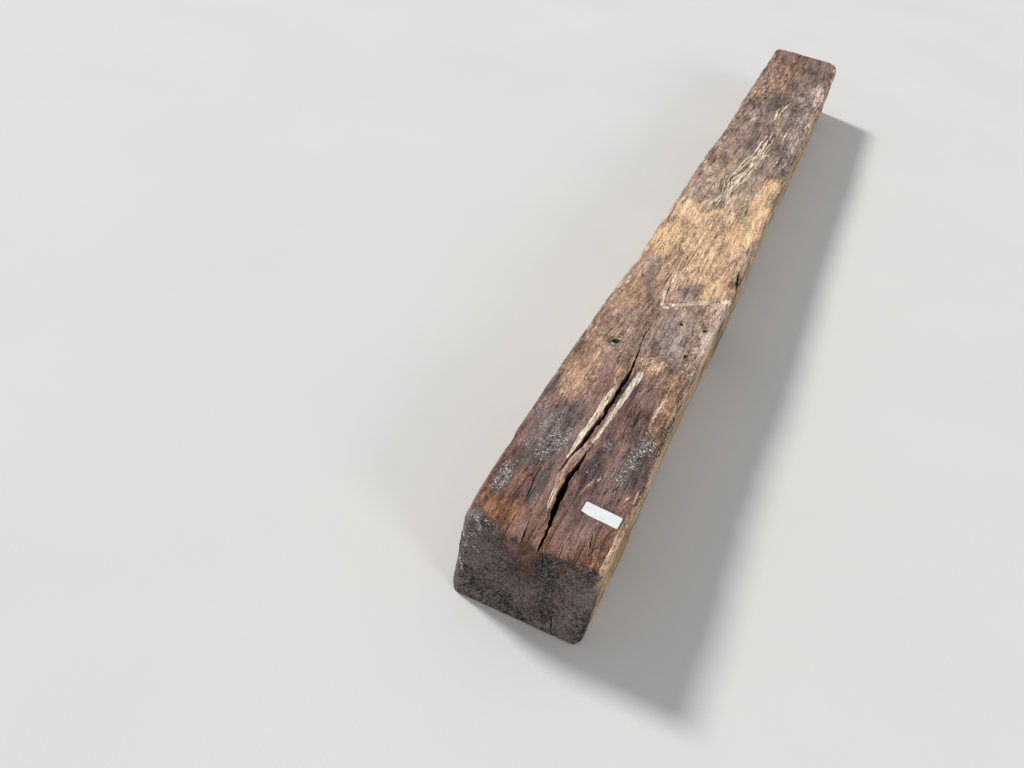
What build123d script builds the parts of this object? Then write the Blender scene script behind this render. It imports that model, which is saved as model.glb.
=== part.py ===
from build123d import *
import math
import os

# A used hardwood railway sleeper, sawn from one log as a single piece of timber.
# All sizes are in millimetres. X runs along the timber from the weathered end (-X) to the far
# end (+X), Y across it and Z up. The origin is at the middle of the underside's outline.

# Overall size of the timber
length = 2590.0
width = 240.0
height = 178.0
near_x = -length / 2
far_x = length / 2

# Hewn section, at stations spread evenly from the near end to the far end.
# Each value is how far the face lies inside the overall size there.
left_inset = (4.0, 0.0, 0.5, 2.5, 10.0, 10.0, 9.0, 7.5, 13.0, 10.0, 8.5, 8.0, 4.0)
right_inset = (8.0, 2.0, 8.0, 6.0, 0.0, 0.0, 4.0, 7.5, 4.0, 1.5, 2.0, 3.0, 1.0)
top_inset = (2.0, 0.5, 0.0, 0.0, 1.5, 2.5, 1.0, 0.0, 1.5, 1.0, 0.0, 0.0, 2.0)
# Wear of the two upper arrises at the same stations, as a radius
left_arris = (15.0, 12.0, 10.0, 9.0, 12.0, 10.0, 8.0, 10.0, 12.0, 9.0, 10.0, 12.0, 15.0)
right_arris = (10.0, 11.0, 14.0, 13.0, 9.0, 8.0, 9.0, 11.0, 9.0, 9.0, 10.0, 13.0, 17.0)
lower_arris = 9.0
# Number of flats that round each arris
arris_flats = 3

# Sawn ends: how far the top edge lies behind the bottom edge, and one corner behind the other
near_lean = 12.0
far_lean = 5.0
near_skew = 3.0
far_skew = 6.0
# Rounding of the four upright corners and of the edges over the ends
near_left_corner = 24.0
near_right_corner = 12.0
far_left_corner = 16.0
far_right_corner = 34.0
near_brow = 9.0
far_brow = 7.0
end_sole = 5.0

# Rail seats, adzed across the top face
near_seat_from_end = 632.0
rail_centres = 1505.0
seat_length = 236.0
seat_depth = 4.0
seat_ramp = 14.0
seat_skew = 4.0
near_seat_x = near_x + near_seat_from_end
far_seat_x = near_seat_x + rail_centres

# Spike holes beside the rail's foot: distance from the seat's middle and from the centre line,
# radius and depth. The first is torn wide by a pulled spike.
spike_places = (
    (-76.0, 54.0, 11.0, 130.0),
    (-45.0, -80.0, 8.0, 118.0),
    (54.0, -46.0, 8.0, 124.0),
    (60.0, -93.0, 8.0, 112.0),
)
# The far seat's spikes were driven this much less deep
far_spikes_rise = 3.0

# The long open split in the top face follows the grain from the near end. It is two splits that
# run past each other, with a tongue of wood between them.
# Each station: distance from the near end, offset from the centre line, mouth and depth
first_split = (
    (-20.0, -14.0, 3.0, 10.0),
    (30.0, -12.5, 5.5, 26.0),
    (78.0, -6.5, 9.0, 46.0),
    (108.0, -3.0, 12.5, 62.0),
    (138.0, -1.0, 12.5, 66.0),
    (168.0, 1.0, 10.5, 62.0),
    (200.0, -1.5, 7.5, 52.0),
    (232.0, -4.5, 4.0, 36.0),
    (274.0, -10.0, 1.5, 10.0),
)
second_split = (
    (160.0, 20.0, 1.5, 8.0),
    (196.0, 19.0, 4.0, 24.0),
    (215.0, 15.5, 6.5, 36.0),
    (240.0, 10.5, 8.5, 46.0),
    (290.0, 7.0, 8.5, 58.0),
    (350.0, 0.5, 8.0, 54.0),
    (415.0, -1.2, 7.5, 48.0),
    (471.0, -3.0, 7.0, 40.0),
    (500.0, -3.0, 5.0, 30.0),
    (524.0, 1.0, 4.0, 26.0),
    (560.0, 4.0, 3.0, 22.0),
    (600.0, 9.0, 3.0, 20.0),
    (640.0, 6.5, 2.4, 15.0),
    (722.0, 4.0, 1.0, 6.0),
)
# The splits' roots lie this far sideways for each unit of depth
split_lean = 0.10

# Shorter drying checks in the top face: two ends, mouth and depth at the middle
top_checks = (
    ((-15.0, 14.0), (72.0, 23.0), 3.4, 22.0),
    ((-15.0, -47.0), (58.0, -41.0), 2.4, 14.0),
    ((6.0, -65.0), (60.0, -65.0), 2.0, 10.0),
    ((34.0, -79.0), (104.0, -71.0), 2.6, 14.0),
    ((6.0, -106.0), (64.0, -103.0), 2.0, 10.0),
    ((92.0, 44.0), (172.0, 51.5), 2.6, 14.0),
    ((310.0, -110.0), (588.0, -113.0), 4.0, 26.0),
    ((880.0, 7.0), (1090.0, -5.0), 2.2, 16.0),
    ((1180.0, 55.0), (1420.0, 47.0), 2.0, 14.0),
    ((1560.0, -23.0), (1830.0, -33.0), 2.4, 16.0),
)

# Drying checks in the sawn ends: start and finish as (across, up), mouth and depth into the end
near_end_checks = (
    ((-57.0, 46.0), (-70.0, -6.0), 2.6, 40.0),
    ((-15.0, 182.0), (-27.0, 128.0), 2.2, 26.0),
    ((70.0, 60.0), (118.0, 84.0), 1.8, 24.0),
)
far_end_checks = (
    ((10.0, 70.0), (24.0, 182.0), 3.0, 60.0),
    ((0.0, 84.0), (-80.0, 120.0), 2.2, 34.0),
    ((18.0, 60.0), (60.0, -6.0), 2.2, 34.0),
)

# Places where the arris has broken away: start and end along the timber, reach across the top
# face and reach down the side. The first group is on the right (-Y), the second on the left.
right_spalls = (
    (166.0, 214.0, 9.0, 22.0),
    (296.0, 470.0, 15.0, 24.0),
    (452.0, 690.0, 12.0, 30.0),
    (1835.0, 1990.0, 12.0, 20.0),
)
left_spalls = (
    (520.0, 640.0, 9.0, 16.0),
    (2240.0, 2420.0, 14.0, 18.0),
)

# Deep slot rotted into the right arris
slot_from_end = 918.0
slot_length = 62.0
slot_inward = 17.0
slot_down = 26.0

# How far a cutting shape stands clear of the surface that it cuts
proud = 6.0


def upright(x):
    """Plane across the timber at x, with its own axes along Y and Z."""
    return Plane(origin=(x, 0, 0), x_dir=(0, 1, 0), z_dir=(1, 0, 0))


def hewn_section(x, left, right, top, left_radius, right_radius):
    """Cross-section of the timber at x, a rectangle whose corners are worn to short flats."""
    low = -proud
    corners = (
        (left - lower_arris, low + lower_arris, lower_arris, 270),
        (left - left_radius, top - left_radius, left_radius, 0),
        (right + right_radius, top - right_radius, right_radius, 90),
        (right + lower_arris, low + lower_arris, lower_arris, 180),
    )
    points = []
    for cy, cz, radius, start in corners:
        for step in range(arris_flats + 1):
            angle = math.radians(start + 90 * step / arris_flats)
            points.append((cy + radius * math.cos(angle), cz + radius * math.sin(angle)))
    return upright(x) * make_face(Polyline(points, close=True))


def hewn_stock():
    """The timber before its ends are sawn, lofted through its hewn sections."""
    sections = []
    last = len(left_inset) - 1
    overrun = 2 * proud
    for place in range(last + 1):
        x = near_x - overrun + place * (length + 2 * overrun) / last
        left = width / 2 - left_inset[place]
        right = -width / 2 + right_inset[place]
        top = height - top_inset[place]
        sections.append(hewn_section(x, left, right, top, left_arris[place], right_arris[place]))
    return loft(sections, ruled=True)


def plan_block():
    """Outline of the timber seen from above, with skewed ends and rounded corners."""
    corners = (
        (near_x, width / 2, near_left_corner),
        (near_x + near_skew, -width / 2, near_right_corner),
        (far_x - far_skew, -width / 2, far_right_corner),
        (far_x, width / 2, far_left_corner),
    )
    outline = Polyline([corner[:2] for corner in corners], close=True)
    face = make_face(outline)
    for x, y, radius in corners:
        nearest = face.vertices().sort_by_distance((x, y, 0))[0]
        face = fillet(nearest, radius)
    return extrude(face, height + 2 * proud)


def side_block():
    """Outline of the timber seen from its side, with leaning ends and softened edges."""
    corners = (
        (near_x, 0.0, end_sole),
        (near_x + near_lean, height, near_brow),
        (far_x - far_lean, height, far_brow),
        (far_x, 0.0, end_sole),
    )
    face = make_face(Polyline([corner[:2] for corner in corners], close=True))
    for x, z, radius in corners:
        nearest = face.vertices().sort_by_distance((x, z, 0))[0]
        face = fillet(nearest, radius)
    standing = Plane(origin=(0, width, 0), x_dir=(1, 0, 0), z_dir=(0, -1, 0))
    return extrude(standing * face, 2 * width)


def rail_seat(x):
    """Shallow flat-floored recess across the top face, ramped at both ends."""
    floor = seat_length / 2 - seat_ramp
    mouth = seat_length / 2 + seat_ramp * proud / seat_depth
    trough = Polyline(
        (-mouth, height + proud),
        (-floor, height - seat_depth),
        (floor, height - seat_depth),
        (mouth, height + proud),
        close=True,
    )
    standing = Plane(origin=(0, width, 0), x_dir=(1, 0, 0), z_dir=(0, -1, 0))
    recess = extrude(standing * make_face(trough), 2 * width)
    return Pos(x, 0, 0) * Rot(0, 0, seat_skew) * recess


def spike_holes(x, rise=0.0):
    """Bored holes for the spikes on both sides of the rail's foot."""
    holes = []
    for along, across, radius, depth in spike_places:
        bore = Cylinder(radius, depth + proud, align=(Align.CENTER, Align.CENTER, Align.MIN))
        holes.append(Pos(x + along, across, height - seat_depth - depth + rise) * bore)
    return holes


def wedge(x, across, mouth, depth, lean=0.0):
    """Triangle across the timber: open at the top face and closed at its root."""
    half = mouth / 2 * (depth + proud) / depth
    root = across + lean * depth
    triangle = Polyline(
        (across - half, height + proud),
        (across + half, height + proud),
        (root, height - depth),
        close=True,
    )
    return upright(x) * make_face(triangle)


def open_split(stations):
    """An open split, a keel-shaped void lofted through wedges that follow the grain."""
    wedges = []
    for along, across, mouth, depth in stations:
        wedges.append(wedge(near_x + along, across, mouth, depth, split_lean))
    return loft(wedges, ruled=True)


def top_check(start, finish, mouth, depth):
    """A short drying check in the top face, deepest at its middle."""
    (first, first_y), (last, last_y) = start, finish
    wedges = [
        wedge(near_x + first, first_y, mouth / 3, depth / 3),
        wedge(near_x + (first + last) / 2, (first_y + last_y) / 2, mouth, depth),
        wedge(near_x + last, last_y, mouth / 6, depth / 6),
    ]
    return loft(wedges, ruled=True)


def end_check(face_x, inward, start, finish, mouth, depth):
    """A drying check in a sawn end, narrowing from its start to its finish."""
    (y1, z1), (y2, z2) = start, finish
    run = Vector(0, y2 - y1, z2 - z1)
    wedges = []
    for fraction, share in ((0.0, 1.0), (1.0, 0.25)):
        origin = Vector(face_x, y1, z1) + run * fraction
        plane = Plane(origin=origin, x_dir=(inward, 0, 0), z_dir=run.normalized())
        half = share * mouth / 2
        reach = share * depth
        triangle = Polyline((-2 * proud, -2 * half), (-2 * proud, 2 * half), (reach, 0), close=True)
        wedges.append(plane * make_face(triangle))
    return loft(wedges, ruled=True)


def spall(start, finish, across, down, side):
    """A splinter broken off an upper arris, tapering out at both ends. side is +1 or -1."""
    wedges = []
    middle = start + 0.4 * (finish - start)
    for along, share in ((start, 0.1), (middle, 1.0), (finish, 0.1)):
        edge = side * width / 2
        triangle = Polyline(
            (edge + side * proud, height + proud),
            (edge - side * share * (across + proud), height + proud),
            (edge + side * proud, height - share * (down + proud)),
            close=True,
        )
        wedges.append(upright(near_x + along) * make_face(triangle))
    return loft(wedges, ruled=True)


def arris_slot():
    """Narrow slot rotted into the right arris, rounded at both ends."""
    plan = SlotOverall(slot_length, 2 * slot_inward)
    slot = extrude(plan, slot_down + proud)
    return Pos(near_x + slot_from_end, -width / 2, height - slot_down) * slot


def sleeper():
    """The finished timber."""
    timber = hewn_stock() & side_block() & plan_block()
    cuts = [rail_seat(near_seat_x), rail_seat(far_seat_x), arris_slot()]
    cuts += [open_split(first_split), open_split(second_split)]
    cuts += spike_holes(near_seat_x) + spike_holes(far_seat_x, far_spikes_rise)
    cuts += [top_check(*check) for check in top_checks]
    cuts += [end_check(near_x, 1, *check) for check in near_end_checks]
    cuts += [end_check(far_x, -1, *check) for check in far_end_checks]
    cuts += [spall(*place, -1) for place in right_spalls]
    cuts += [spall(*place, 1) for place in left_spalls]
    return timber - cuts


os.makedirs("parts", exist_ok=True)
piece = sleeper()
export_step(piece, "parts/sleeper.step")
box = piece.bounding_box()
print("sleeper", len(piece.solids()), "solid", round(piece.volume / 1e6, 2), "litres")
print("from", box.min, "to", box.max)
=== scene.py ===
# %% [markdown]
# # A weathered railway sleeper
# This lesson dresses one used hardwood sleeper. The CAD model gives its size, its sawn ends, its
# rail seats, its holes and its big splits. Blender adds what the weather did to it: the raised
# grain, the torn fibres, the greyed and golden patches and the lichen. The first step loads the
# CAD model, which stays where it is for the whole lesson.

# %% The packed model
import math

import bmesh
import bpy
import numpy as np
from mathutils import Matrix, Quaternion, Vector
from mathutils.bvhtree import BVHTree


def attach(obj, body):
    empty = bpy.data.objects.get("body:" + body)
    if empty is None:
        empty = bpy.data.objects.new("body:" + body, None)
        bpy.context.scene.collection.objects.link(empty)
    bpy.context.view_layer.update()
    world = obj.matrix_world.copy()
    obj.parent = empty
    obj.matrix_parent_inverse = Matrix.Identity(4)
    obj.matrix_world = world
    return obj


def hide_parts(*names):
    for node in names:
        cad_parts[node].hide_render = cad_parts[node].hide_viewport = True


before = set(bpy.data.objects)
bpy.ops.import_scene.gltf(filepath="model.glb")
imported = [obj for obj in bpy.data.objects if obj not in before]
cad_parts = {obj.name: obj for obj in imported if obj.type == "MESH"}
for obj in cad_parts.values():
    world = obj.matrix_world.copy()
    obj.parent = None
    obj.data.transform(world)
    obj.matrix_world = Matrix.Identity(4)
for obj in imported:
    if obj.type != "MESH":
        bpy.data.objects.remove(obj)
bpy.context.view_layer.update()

# %% [markdown]
# ## The camera
# The photograph was taken by someone who stood at the near end and looked down along the timber,
# with the camera a little tilted. A camera can be placed by eye, but here its place was worked out
# from the corners of the timber: a long box of known size has only one place from which its
# corners fall on the right pixels. Three angles say how the camera is turned, and its lens follows
# from how strongly the far end shrinks.

# %% Camera
scene = bpy.context.scene
photo_width = 1024
focal_pixels = 851.9
camera_place = Vector((-2.0676, -0.1802, 1.1658))
camera_yaw = math.radians(17.83)
camera_pitch = math.radians(40.643)
camera_roll = math.radians(9.934)


def add_object(name, data):
    """A new object in the scene, at the origin."""
    made = bpy.data.objects.new(name, data)
    scene.collection.objects.link(made)
    return made


def aim(item, place, gaze, roll=0.0):
    """Puts a camera or a lamp at a place and turns it to look along its gaze."""
    item.location = place
    item.rotation_mode = "QUATERNION"
    item.rotation_quaternion = gaze.to_track_quat("-Z", "Y") @ Quaternion((0, 0, 1), roll)


lens = bpy.data.cameras.new("camera")
lens.sensor_width = 36.0
lens.lens = focal_pixels / photo_width * lens.sensor_width
camera = add_object("camera", lens)
scene.camera = camera
level = math.cos(camera_pitch)
gaze = (level * math.cos(camera_yaw), level * math.sin(camera_yaw), -math.sin(camera_pitch))
aim(camera, camera_place, Vector(gaze), camera_roll)
print("lens", round(lens.lens, 2), "mm")

# %% [markdown]
# ## Light and floor
# The sleeper lies on a plain pale floor. A sun with a wide disc, high on the left, shapes the
# relief. A weak second sun with a wider disc fills the shadows from the right, and a grey world
# lights the rest. Suns light the floor evenly, where an area lamp leaves a bright spot below it.
# The view transform is Standard, so that a colour comes out about as the material has it.

# %% Light
scene.view_settings.view_transform = "Standard"
# Each sun: name, place, the point it shines at, strength, and the width of its disc in degrees
suns = (
    ("key_lamp", (4.6, 15.6, 13.6), (-0.2, 0.0, 0.1), 3.08, 10.8),
    ("fill_lamp", (-3.2, -5.6, 3.0), (-0.6, 0.0, 0.1), 0.79, 20.0),
)
for name, place, target, strength, disc in suns:
    sun = bpy.data.lights.new(name, "SUN")
    sun.energy = strength
    sun.angle = math.radians(disc)
    aim(add_object(name, sun), place, Vector(target) - Vector(place))
world = bpy.data.worlds.new("world")
scene.world = world
world.use_nodes = True
sky = world.node_tree.nodes["Background"].inputs
sky["Color"].default_value = (0.95, 0.97, 1.0, 1)
sky["Strength"].default_value = 0.47

# %% [markdown]
# ## Node trees written as sums
# A material is a tree of nodes. Building it by hand means many small links, so this lesson wraps
# an output socket in a class that Python can add, multiply and subtract: each sign adds one Math
# node. Every other node comes from one method, which takes the node's type, its settings and the
# values or links of its sockets. Geometry Nodes trees have the same nodes and links, so the same
# bench builds them too.

# %% Sockets that can be added and multiplied


def operator(operation, turned=False):
    """A method that adds one Math node. Turned, it takes its two values the other way round."""

    def method(self, other=0.0):
        first, second = (other, self) if turned else (self, other)
        return self.bench.node("ShaderNodeMath", {"operation": operation}, {0: first, 1: second})

    return method


class Wire:
    """An output socket that can stand in a Python expression."""

    def __init__(self, bench, socket):
        self.bench = bench
        self.socket = socket

    __add__ = __radd__ = operator("ADD")
    __mul__ = __rmul__ = operator("MULTIPLY")
    __sub__ = operator("SUBTRACT")
    __rsub__ = operator("SUBTRACT", turned=True)
    __truediv__ = operator("DIVIDE")
    __rtruediv__ = operator("DIVIDE", turned=True)
    __pow__ = operator("POWER")
    __abs__ = operator("ABSOLUTE")
    larger = operator("MAXIMUM")

    def ease(self, start, end):
        """0 before start, 1 after end, and a smooth step between them."""
        settings = {"interpolation_type": "SMOOTHSTEP"}
        return self.bench.node("ShaderNodeMapRange", settings, {0: self, 1: start, 2: end})


class Bench:
    """A node tree with one method that adds any node."""

    def __init__(self, tree):
        self.tree = tree

    def node(self, kind, settings=None, inputs=None, output=0):
        made = self.tree.nodes.new(kind)
        for name, value in (settings or {}).items():
            if name == "stops":
                ramp = made.color_ramp.elements
                while len(ramp) < len(value):
                    ramp.new(1.0)
                for element, (position, colour) in zip(ramp, value):
                    element.position = position
                    element.color = colour
            else:
                setattr(made, name, value)
        for key, value in (inputs or {}).items():
            if isinstance(value, Wire):
                self.tree.links.new(value.socket, made.inputs[key])
            else:
                made.inputs[key].default_value = value
        return Wire(self, made.outputs[output]) if made.outputs else None

    def vector(self, operation, first, second=None):
        """Vector Math. SCALE takes a number as its second value, and LENGTH gives a number."""
        inputs = {0: first}
        if second is not None:
            inputs["Scale" if operation == "SCALE" else 1] = second
        output = "Value" if operation == "LENGTH" else 0
        return self.node("ShaderNodeVectorMath", {"operation": operation}, inputs, output)


print("a wire has the methods", [name for name, value in vars(Wire).items() if callable(value)])

# %% Paint and finishes


def paint(red, green, blue):
    """A colour written as in a paint program, from 0 to 255, for a linear socket."""
    linear = []
    for part in (red / 255, green / 255, blue / 255):
        linear.append(part / 12.92 if part <= 0.04045 else ((part + 0.055) / 1.055) ** 2.4)
    return (*linear, 1.0)


class Finish(Bench):
    """A material's node tree, with the few nodes that every finish here needs."""

    def __init__(self, name):
        self.material = bpy.data.materials.new(name)
        self.material.use_nodes = True
        super().__init__(self.material.node_tree)
        self.tree.nodes.clear()

    def place(self):
        """The place on the piece, in metres."""
        return self.node("ShaderNodeTexCoord", output="Object")

    def attribute(self, name, output="Fac"):
        return self.node("ShaderNodeAttribute", {"attribute_name": name}, output=output)

    def noise(self, vector, scale, detail=3.0, roughness=0.55):
        """Noise from 0 to 1. scale says how many grains go into one metre along each axis."""
        inputs = {"Vector": self.vector("MULTIPLY", vector, scale), "Scale": 1.0}
        inputs.update({"Detail": detail, "Roughness": roughness})
        return self.node("ShaderNodeTexNoise", inputs=inputs)

    def blend(self, mask, first, second):
        """The first colour where the mask is 0, the second where it is 1. Tuples are paints."""
        settings = {"data_type": "RGBA", "clamp_factor": True}
        first, second = (paint(*c) if isinstance(c, tuple) else c for c in (first, second))
        return self.node("ShaderNodeMix", settings, {0: mask, 6: first, 7: second}, output=2)

    def close(self, colour, roughness, height, depth, specular=0.3):
        """Ends the tree: a bump from a height and a Principled shader."""
        inputs = {"Height": height, "Strength": 1.0, "Distance": depth}
        bump = self.node("ShaderNodeBump", inputs=inputs)
        inputs = {"Base Color": colour, "Roughness": roughness, "Normal": bump}
        inputs["Specular IOR Level"] = specular
        shader = self.node("ShaderNodeBsdfPrincipled", inputs=inputs)
        self.node("ShaderNodeOutputMaterial", inputs={"Surface": shader})
        print(self.material.name, "has", len(self.tree.nodes), "nodes")
        return self.material


print("a mid brown is", [round(value, 3) for value in paint(120, 85, 75)])

# %% [markdown]
# ## The floor's finish
# Even a plain floor has a little tooth. A soft noise changes its grey by a few percent and gives
# it a faint bump, so that the shadow under the sleeper falls on a real surface.

# %% Floor
floor_half = 14.0
floor_mesh = bpy.data.meshes.new("floor")
floor_corners = [(x * floor_half, y * floor_half, 0) for x, y in ((-1, -1), (1, -1), (1, 1), (-1, 1))]
floor_mesh.from_pydata(floor_corners, [], [(0, 1, 2, 3)])
floor = add_object("floor", floor_mesh)
plaster = Finish("pale_floor")
plaster_place = plaster.place()
plaster_cloud = plaster.noise(plaster_place, (1.5, 1.5, 1.5))
plaster_tooth = plaster.noise(plaster_place, (260, 260, 260), 2.0)
plaster_colour = plaster.blend(plaster_cloud, (204, 202, 199), (212, 210, 207))
floor_mesh.materials.append(plaster.close(plaster_colour, 0.9, plaster_tooth, 0.0002))

# %% [markdown]
# ## Repeatable randomness
# Weathered wood is random, but a scene has to come out the same each time it is run. The noise
# below gives every corner of a lattice its own number, worked out from the corner's place and a
# seed, and blends smoothly between the corners. Its spacing can differ along each axis: long along
# the timber and short across it gives grain.

# %% Noise for the mesh


def corner_values(cells, seed):
    """A repeatable number from 0 to 1 for each lattice corner, by scrambling its bits."""
    primes = np.array([73856093, 19349663, 83492791], dtype=np.uint64)
    word = (cells.astype(np.uint64) * primes).sum(axis=1) + np.uint64(seed * 7919)
    word = word.astype(np.uint32)
    for shift, factor in ((15, 2246822519), (13, 3266489917)):
        word ^= word >> np.uint32(shift)
        word *= np.uint32(factor)
    word ^= word >> np.uint32(16)
    return word / (2.0**32 - 1)


def noise(points, spacing, seed):
    """Smooth values from 0 to 1 that change over about this spacing, in metres, on each axis."""
    scaled = points / np.asarray(spacing) + 1000.0
    base = np.floor(scaled)
    part = scaled - base
    part = part * part * (3 - 2 * part)
    base = base.astype(np.int64)
    total = np.zeros(len(points))
    for corner in range(8):
        step = np.array([corner & 1, corner >> 1 & 1, corner >> 2 & 1])
        weight = np.where(step, part, 1 - part).prod(axis=1)
        total += weight * corner_values(base + step, seed)
    return total


def ease(value, start, end):
    """0 before start, 1 after end, and a smooth step between them."""
    share = np.clip((value - start) / (end - start), 0, 1)
    return share * share * (3 - 2 * share)


print("noise at the origin is", noise(np.zeros((1, 3)), (1, 1, 1), 3))

# %% [markdown]
# ## The hewn body
# The sleeper is one squared log. Its section swells and shrinks a little along its length, so it
# is described at 13 stations: how far each face lies inside the overall size, and how round each
# upper arris is worn. A subdivided cube could be sculpted to this, but a lattice of points that is
# bent by rule keeps its columns along the grain, which is how wood weathers. Rows stand closer
# together near the camera's end.

# %% Sizes of the body
mm = 0.001
length, width, height = 2590 * mm, 240 * mm, 178 * mm
near_x, far_x = -length / 2, length / 2
# At 13 stations, in millimetres: how far each face lies inside, and how round each upper arris is
left_inset = (4.0, 0.0, 0.5, 2.5, 8.0, 8.0, 8.0, 7.5, 13.0, 10.0, 8.5, 8.0, 4.0)
right_inset = (8.0, 2.0, 8.0, 6.0, 0.0, 0.0, 4.0, 7.5, 4.0, 1.5, 2.0, 3.0, 1.0)
top_inset = (2.0, 0.5, 0.0, 0.0, 1.5, 2.5, 1.0, 0.0, 1.5, 1.0, 0.0, 0.0, 2.0)
left_arris = (15.0, 12.0, 10.0, 9.0, 12.0, 10.0, 8.0, 10.0, 12.0, 9.0, 10.0, 12.0, 15.0)
right_arris = (10.0, 11.0, 14.0, 13.0, 9.0, 8.0, 9.0, 11.0, 9.0, 9.0, 10.0, 13.0, 17.0)
station_x = np.linspace(near_x - 12 * mm, far_x + 12 * mm, len(left_inset))
lower_arris = 9 * mm
near_lean, far_lean, near_skew, far_skew = 12 * mm, 5 * mm, 3 * mm, 6 * mm
# Each end: its place, which way it faces, and the radii of its left and right upright corner, of
# its brow and of its lower edge
ends = ((near_x, -1, 24 * mm, 16 * mm, 9 * mm, 5 * mm), (far_x, 1, 16 * mm, 34 * mm, 7 * mm, 5 * mm))
seat_length, seat_depth, seat_ramp = 236 * mm, 4 * mm, 14 * mm
near_seat_x = near_x + 632 * mm
far_seat_x = near_seat_x + 1505 * mm
seat_slope = math.tan(math.radians(4))


def at_station(values, x):
    """One of the station lists, read at x, in metres."""
    return np.interp(x, station_x, np.array(values) * mm)


def near_face(y, z):
    """Where the near sawn end lies at a height and place across."""
    return near_x + near_lean * z / height + near_skew * (0.5 - y / width)


def far_face(y, z):
    """Where the far sawn end lies at a height and place across."""
    return far_x - far_lean * z / height - far_skew * (0.5 - y / width)


def inside_long_faces(x, y):
    """How deep a place lies inside the nearer of the two long faces."""
    from_left = width / 2 - at_station(left_inset, x) - y
    return np.minimum(from_left, y + width / 2 - at_station(right_inset, x))


def seat_share(x, y):
    """1 on the floor of a rail seat, 0 outside, with a ramp between."""
    share = np.zeros(len(x))
    for centre in (near_seat_x, far_seat_x):
        away = np.abs(x - centre + y * seat_slope)
        share = np.maximum(share, 1 - ease(away, seat_length / 2 - seat_ramp, seat_length / 2))
    return share


print("rail seats at", round(near_seat_x, 3), "and", round(far_seat_x, 3))

# %% [markdown]
# ## A box of points
# The lattice is a box made of many small squares, of which only the outside is kept. Points on an
# edge belong to two faces, so equal places are merged by their whole-number addresses and the
# skin is closed from the start.

# %% Box lattice


def box_lattice(rows, columns, layers):
    """Addresses (row, column, layer) of a closed box skin and its quads, facing outwards."""
    faces = []
    for axis, end in ((0, 0), (0, 1), (1, 0), (1, 1), (2, 0), (2, 1)):
        counts = (rows, columns, layers)
        u_axis, v_axis = (axis + 1) % 3, (axis + 2) % 3
        u, v = np.meshgrid(np.arange(counts[u_axis]), np.arange(counts[v_axis]), indexing="ij")
        address = np.zeros((*u.shape, 3), dtype=np.int64)
        address[..., axis] = end * (counts[axis] - 1)
        address[..., u_axis] = u
        address[..., v_axis] = v
        quad = [address[:-1, :-1], address[1:, :-1], address[1:, 1:], address[:-1, 1:]]
        if end == 0:
            quad.reverse()
        faces.append(np.stack(quad, axis=2).reshape(-1, 4, 3))
    corners = np.concatenate(faces).reshape(-1, 3)
    keys = (corners[:, 0] * columns + corners[:, 1]) * layers + corners[:, 2]
    _, first, inverse = np.unique(keys, return_index=True, return_inverse=True)
    return corners[first], inverse.reshape(-1, 4)


def graded(marks, steps):
    """Values from the first mark to the last, with the given step in each gap between marks."""
    values = []
    for start, end, step in zip(marks[:-1], marks[1:], steps):
        values += list(np.linspace(start, end, max(2, round((end - start) / step)), endpoint=False))
    return np.array(values + [marks[-1]])


row_marks = (0.0, 0.02, 0.36, 0.53, 0.84, 1.6, 2.57, 2.59)
row_share = graded(row_marks, (0.002, 0.0036, 0.0045, 0.0038, 0.0065, 0.0090, 0.003)) / length
column_share = graded((0, 0.02, 0.22, 0.24), (0.0014, 0.00155, 0.0014)) / width
layer_share = graded((0, 0.015, 0.163, 0.178), (0.003, 0.0034, 0.0018)) / height
address, quads = box_lattice(len(row_share), len(column_share), len(layer_share))
print("lattice of", len(address), "points and", len(quads), "squares")

# %% [markdown]
# ## Rounding and hewing
# Each corner of the box is worn round. The rule takes the little square beside a corner and
# squeezes it into a quarter circle, which moves points without folding the grid. It is used three
# times: across the timber for the arrises, in plan for the upright corners, and in side view for
# the edges over the ends. The rail seats are then cut by lowering what stands above their floor.

# %% Rounded, hewn skin


def round_corner(a, b, a_edge, b_edge, a_side, b_side, radius):
    """Squeezes the square beside a corner into a quarter circle. The sides are +1 or -1."""
    da = (a - a_edge) * a_side + radius
    db = (b - b_edge) * b_side + radius
    inside = (da > 0) & (db > 0)
    squeeze = np.maximum(da, db) / np.maximum(np.hypot(da, db), 1e-9)
    new_a = np.where(inside, a_edge + a_side * (da * squeeze - radius), a)
    new_b = np.where(inside, b_edge + b_side * (db * squeeze - radius), b)
    return new_a, new_b


def hewn_skin():
    """Places of the lattice points on the rounded timber, before any weathering."""
    share, across, up = (s[address[:, k]] for k, s in enumerate((row_share, column_share, layer_share)))
    x = near_x + share * length
    left = width / 2 - at_station(left_inset, x)
    right = -width / 2 + at_station(right_inset, x)
    top = height - at_station(top_inset, x)
    y = right + (left - right) * across
    z = top * up
    sole = np.zeros(len(x))
    sides = ((left, 1, left_arris), (right, -1, right_arris))
    for edge, side, radii in sides:
        y, z = round_corner(y, z, edge, top, side, 1, at_station(radii, x))
    for edge, side, _ in sides:
        y, z = round_corner(y, z, edge, sole, side, -1, lower_arris)
    for end_x, outward, left_radius, right_radius, _, _ in ends:
        x, y = round_corner(x, y, end_x, left, outward, 1, left_radius)
        x, y = round_corner(x, y, end_x, right, outward, -1, right_radius)
    for end_x, outward, _, _, brow, lower_edge in ends:
        x, z = round_corner(x, z, end_x, top, outward, 1, brow)
        x, z = round_corner(x, z, end_x, sole, outward, -1, lower_edge)
    along = (x - near_x) / length
    x = near_face(y, z) + along * (far_face(y, z) - near_face(y, z))
    seat = seat_share(x, y)
    out_of_reach = 0.5
    z = np.minimum(z, height - seat_depth * seat + out_of_reach * (1 - seat))
    return np.stack([x, y, z], axis=1)


skin = hewn_skin()
print("skin from", skin.min(axis=0).round(4), "to", skin.max(axis=0).round(4))

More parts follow.
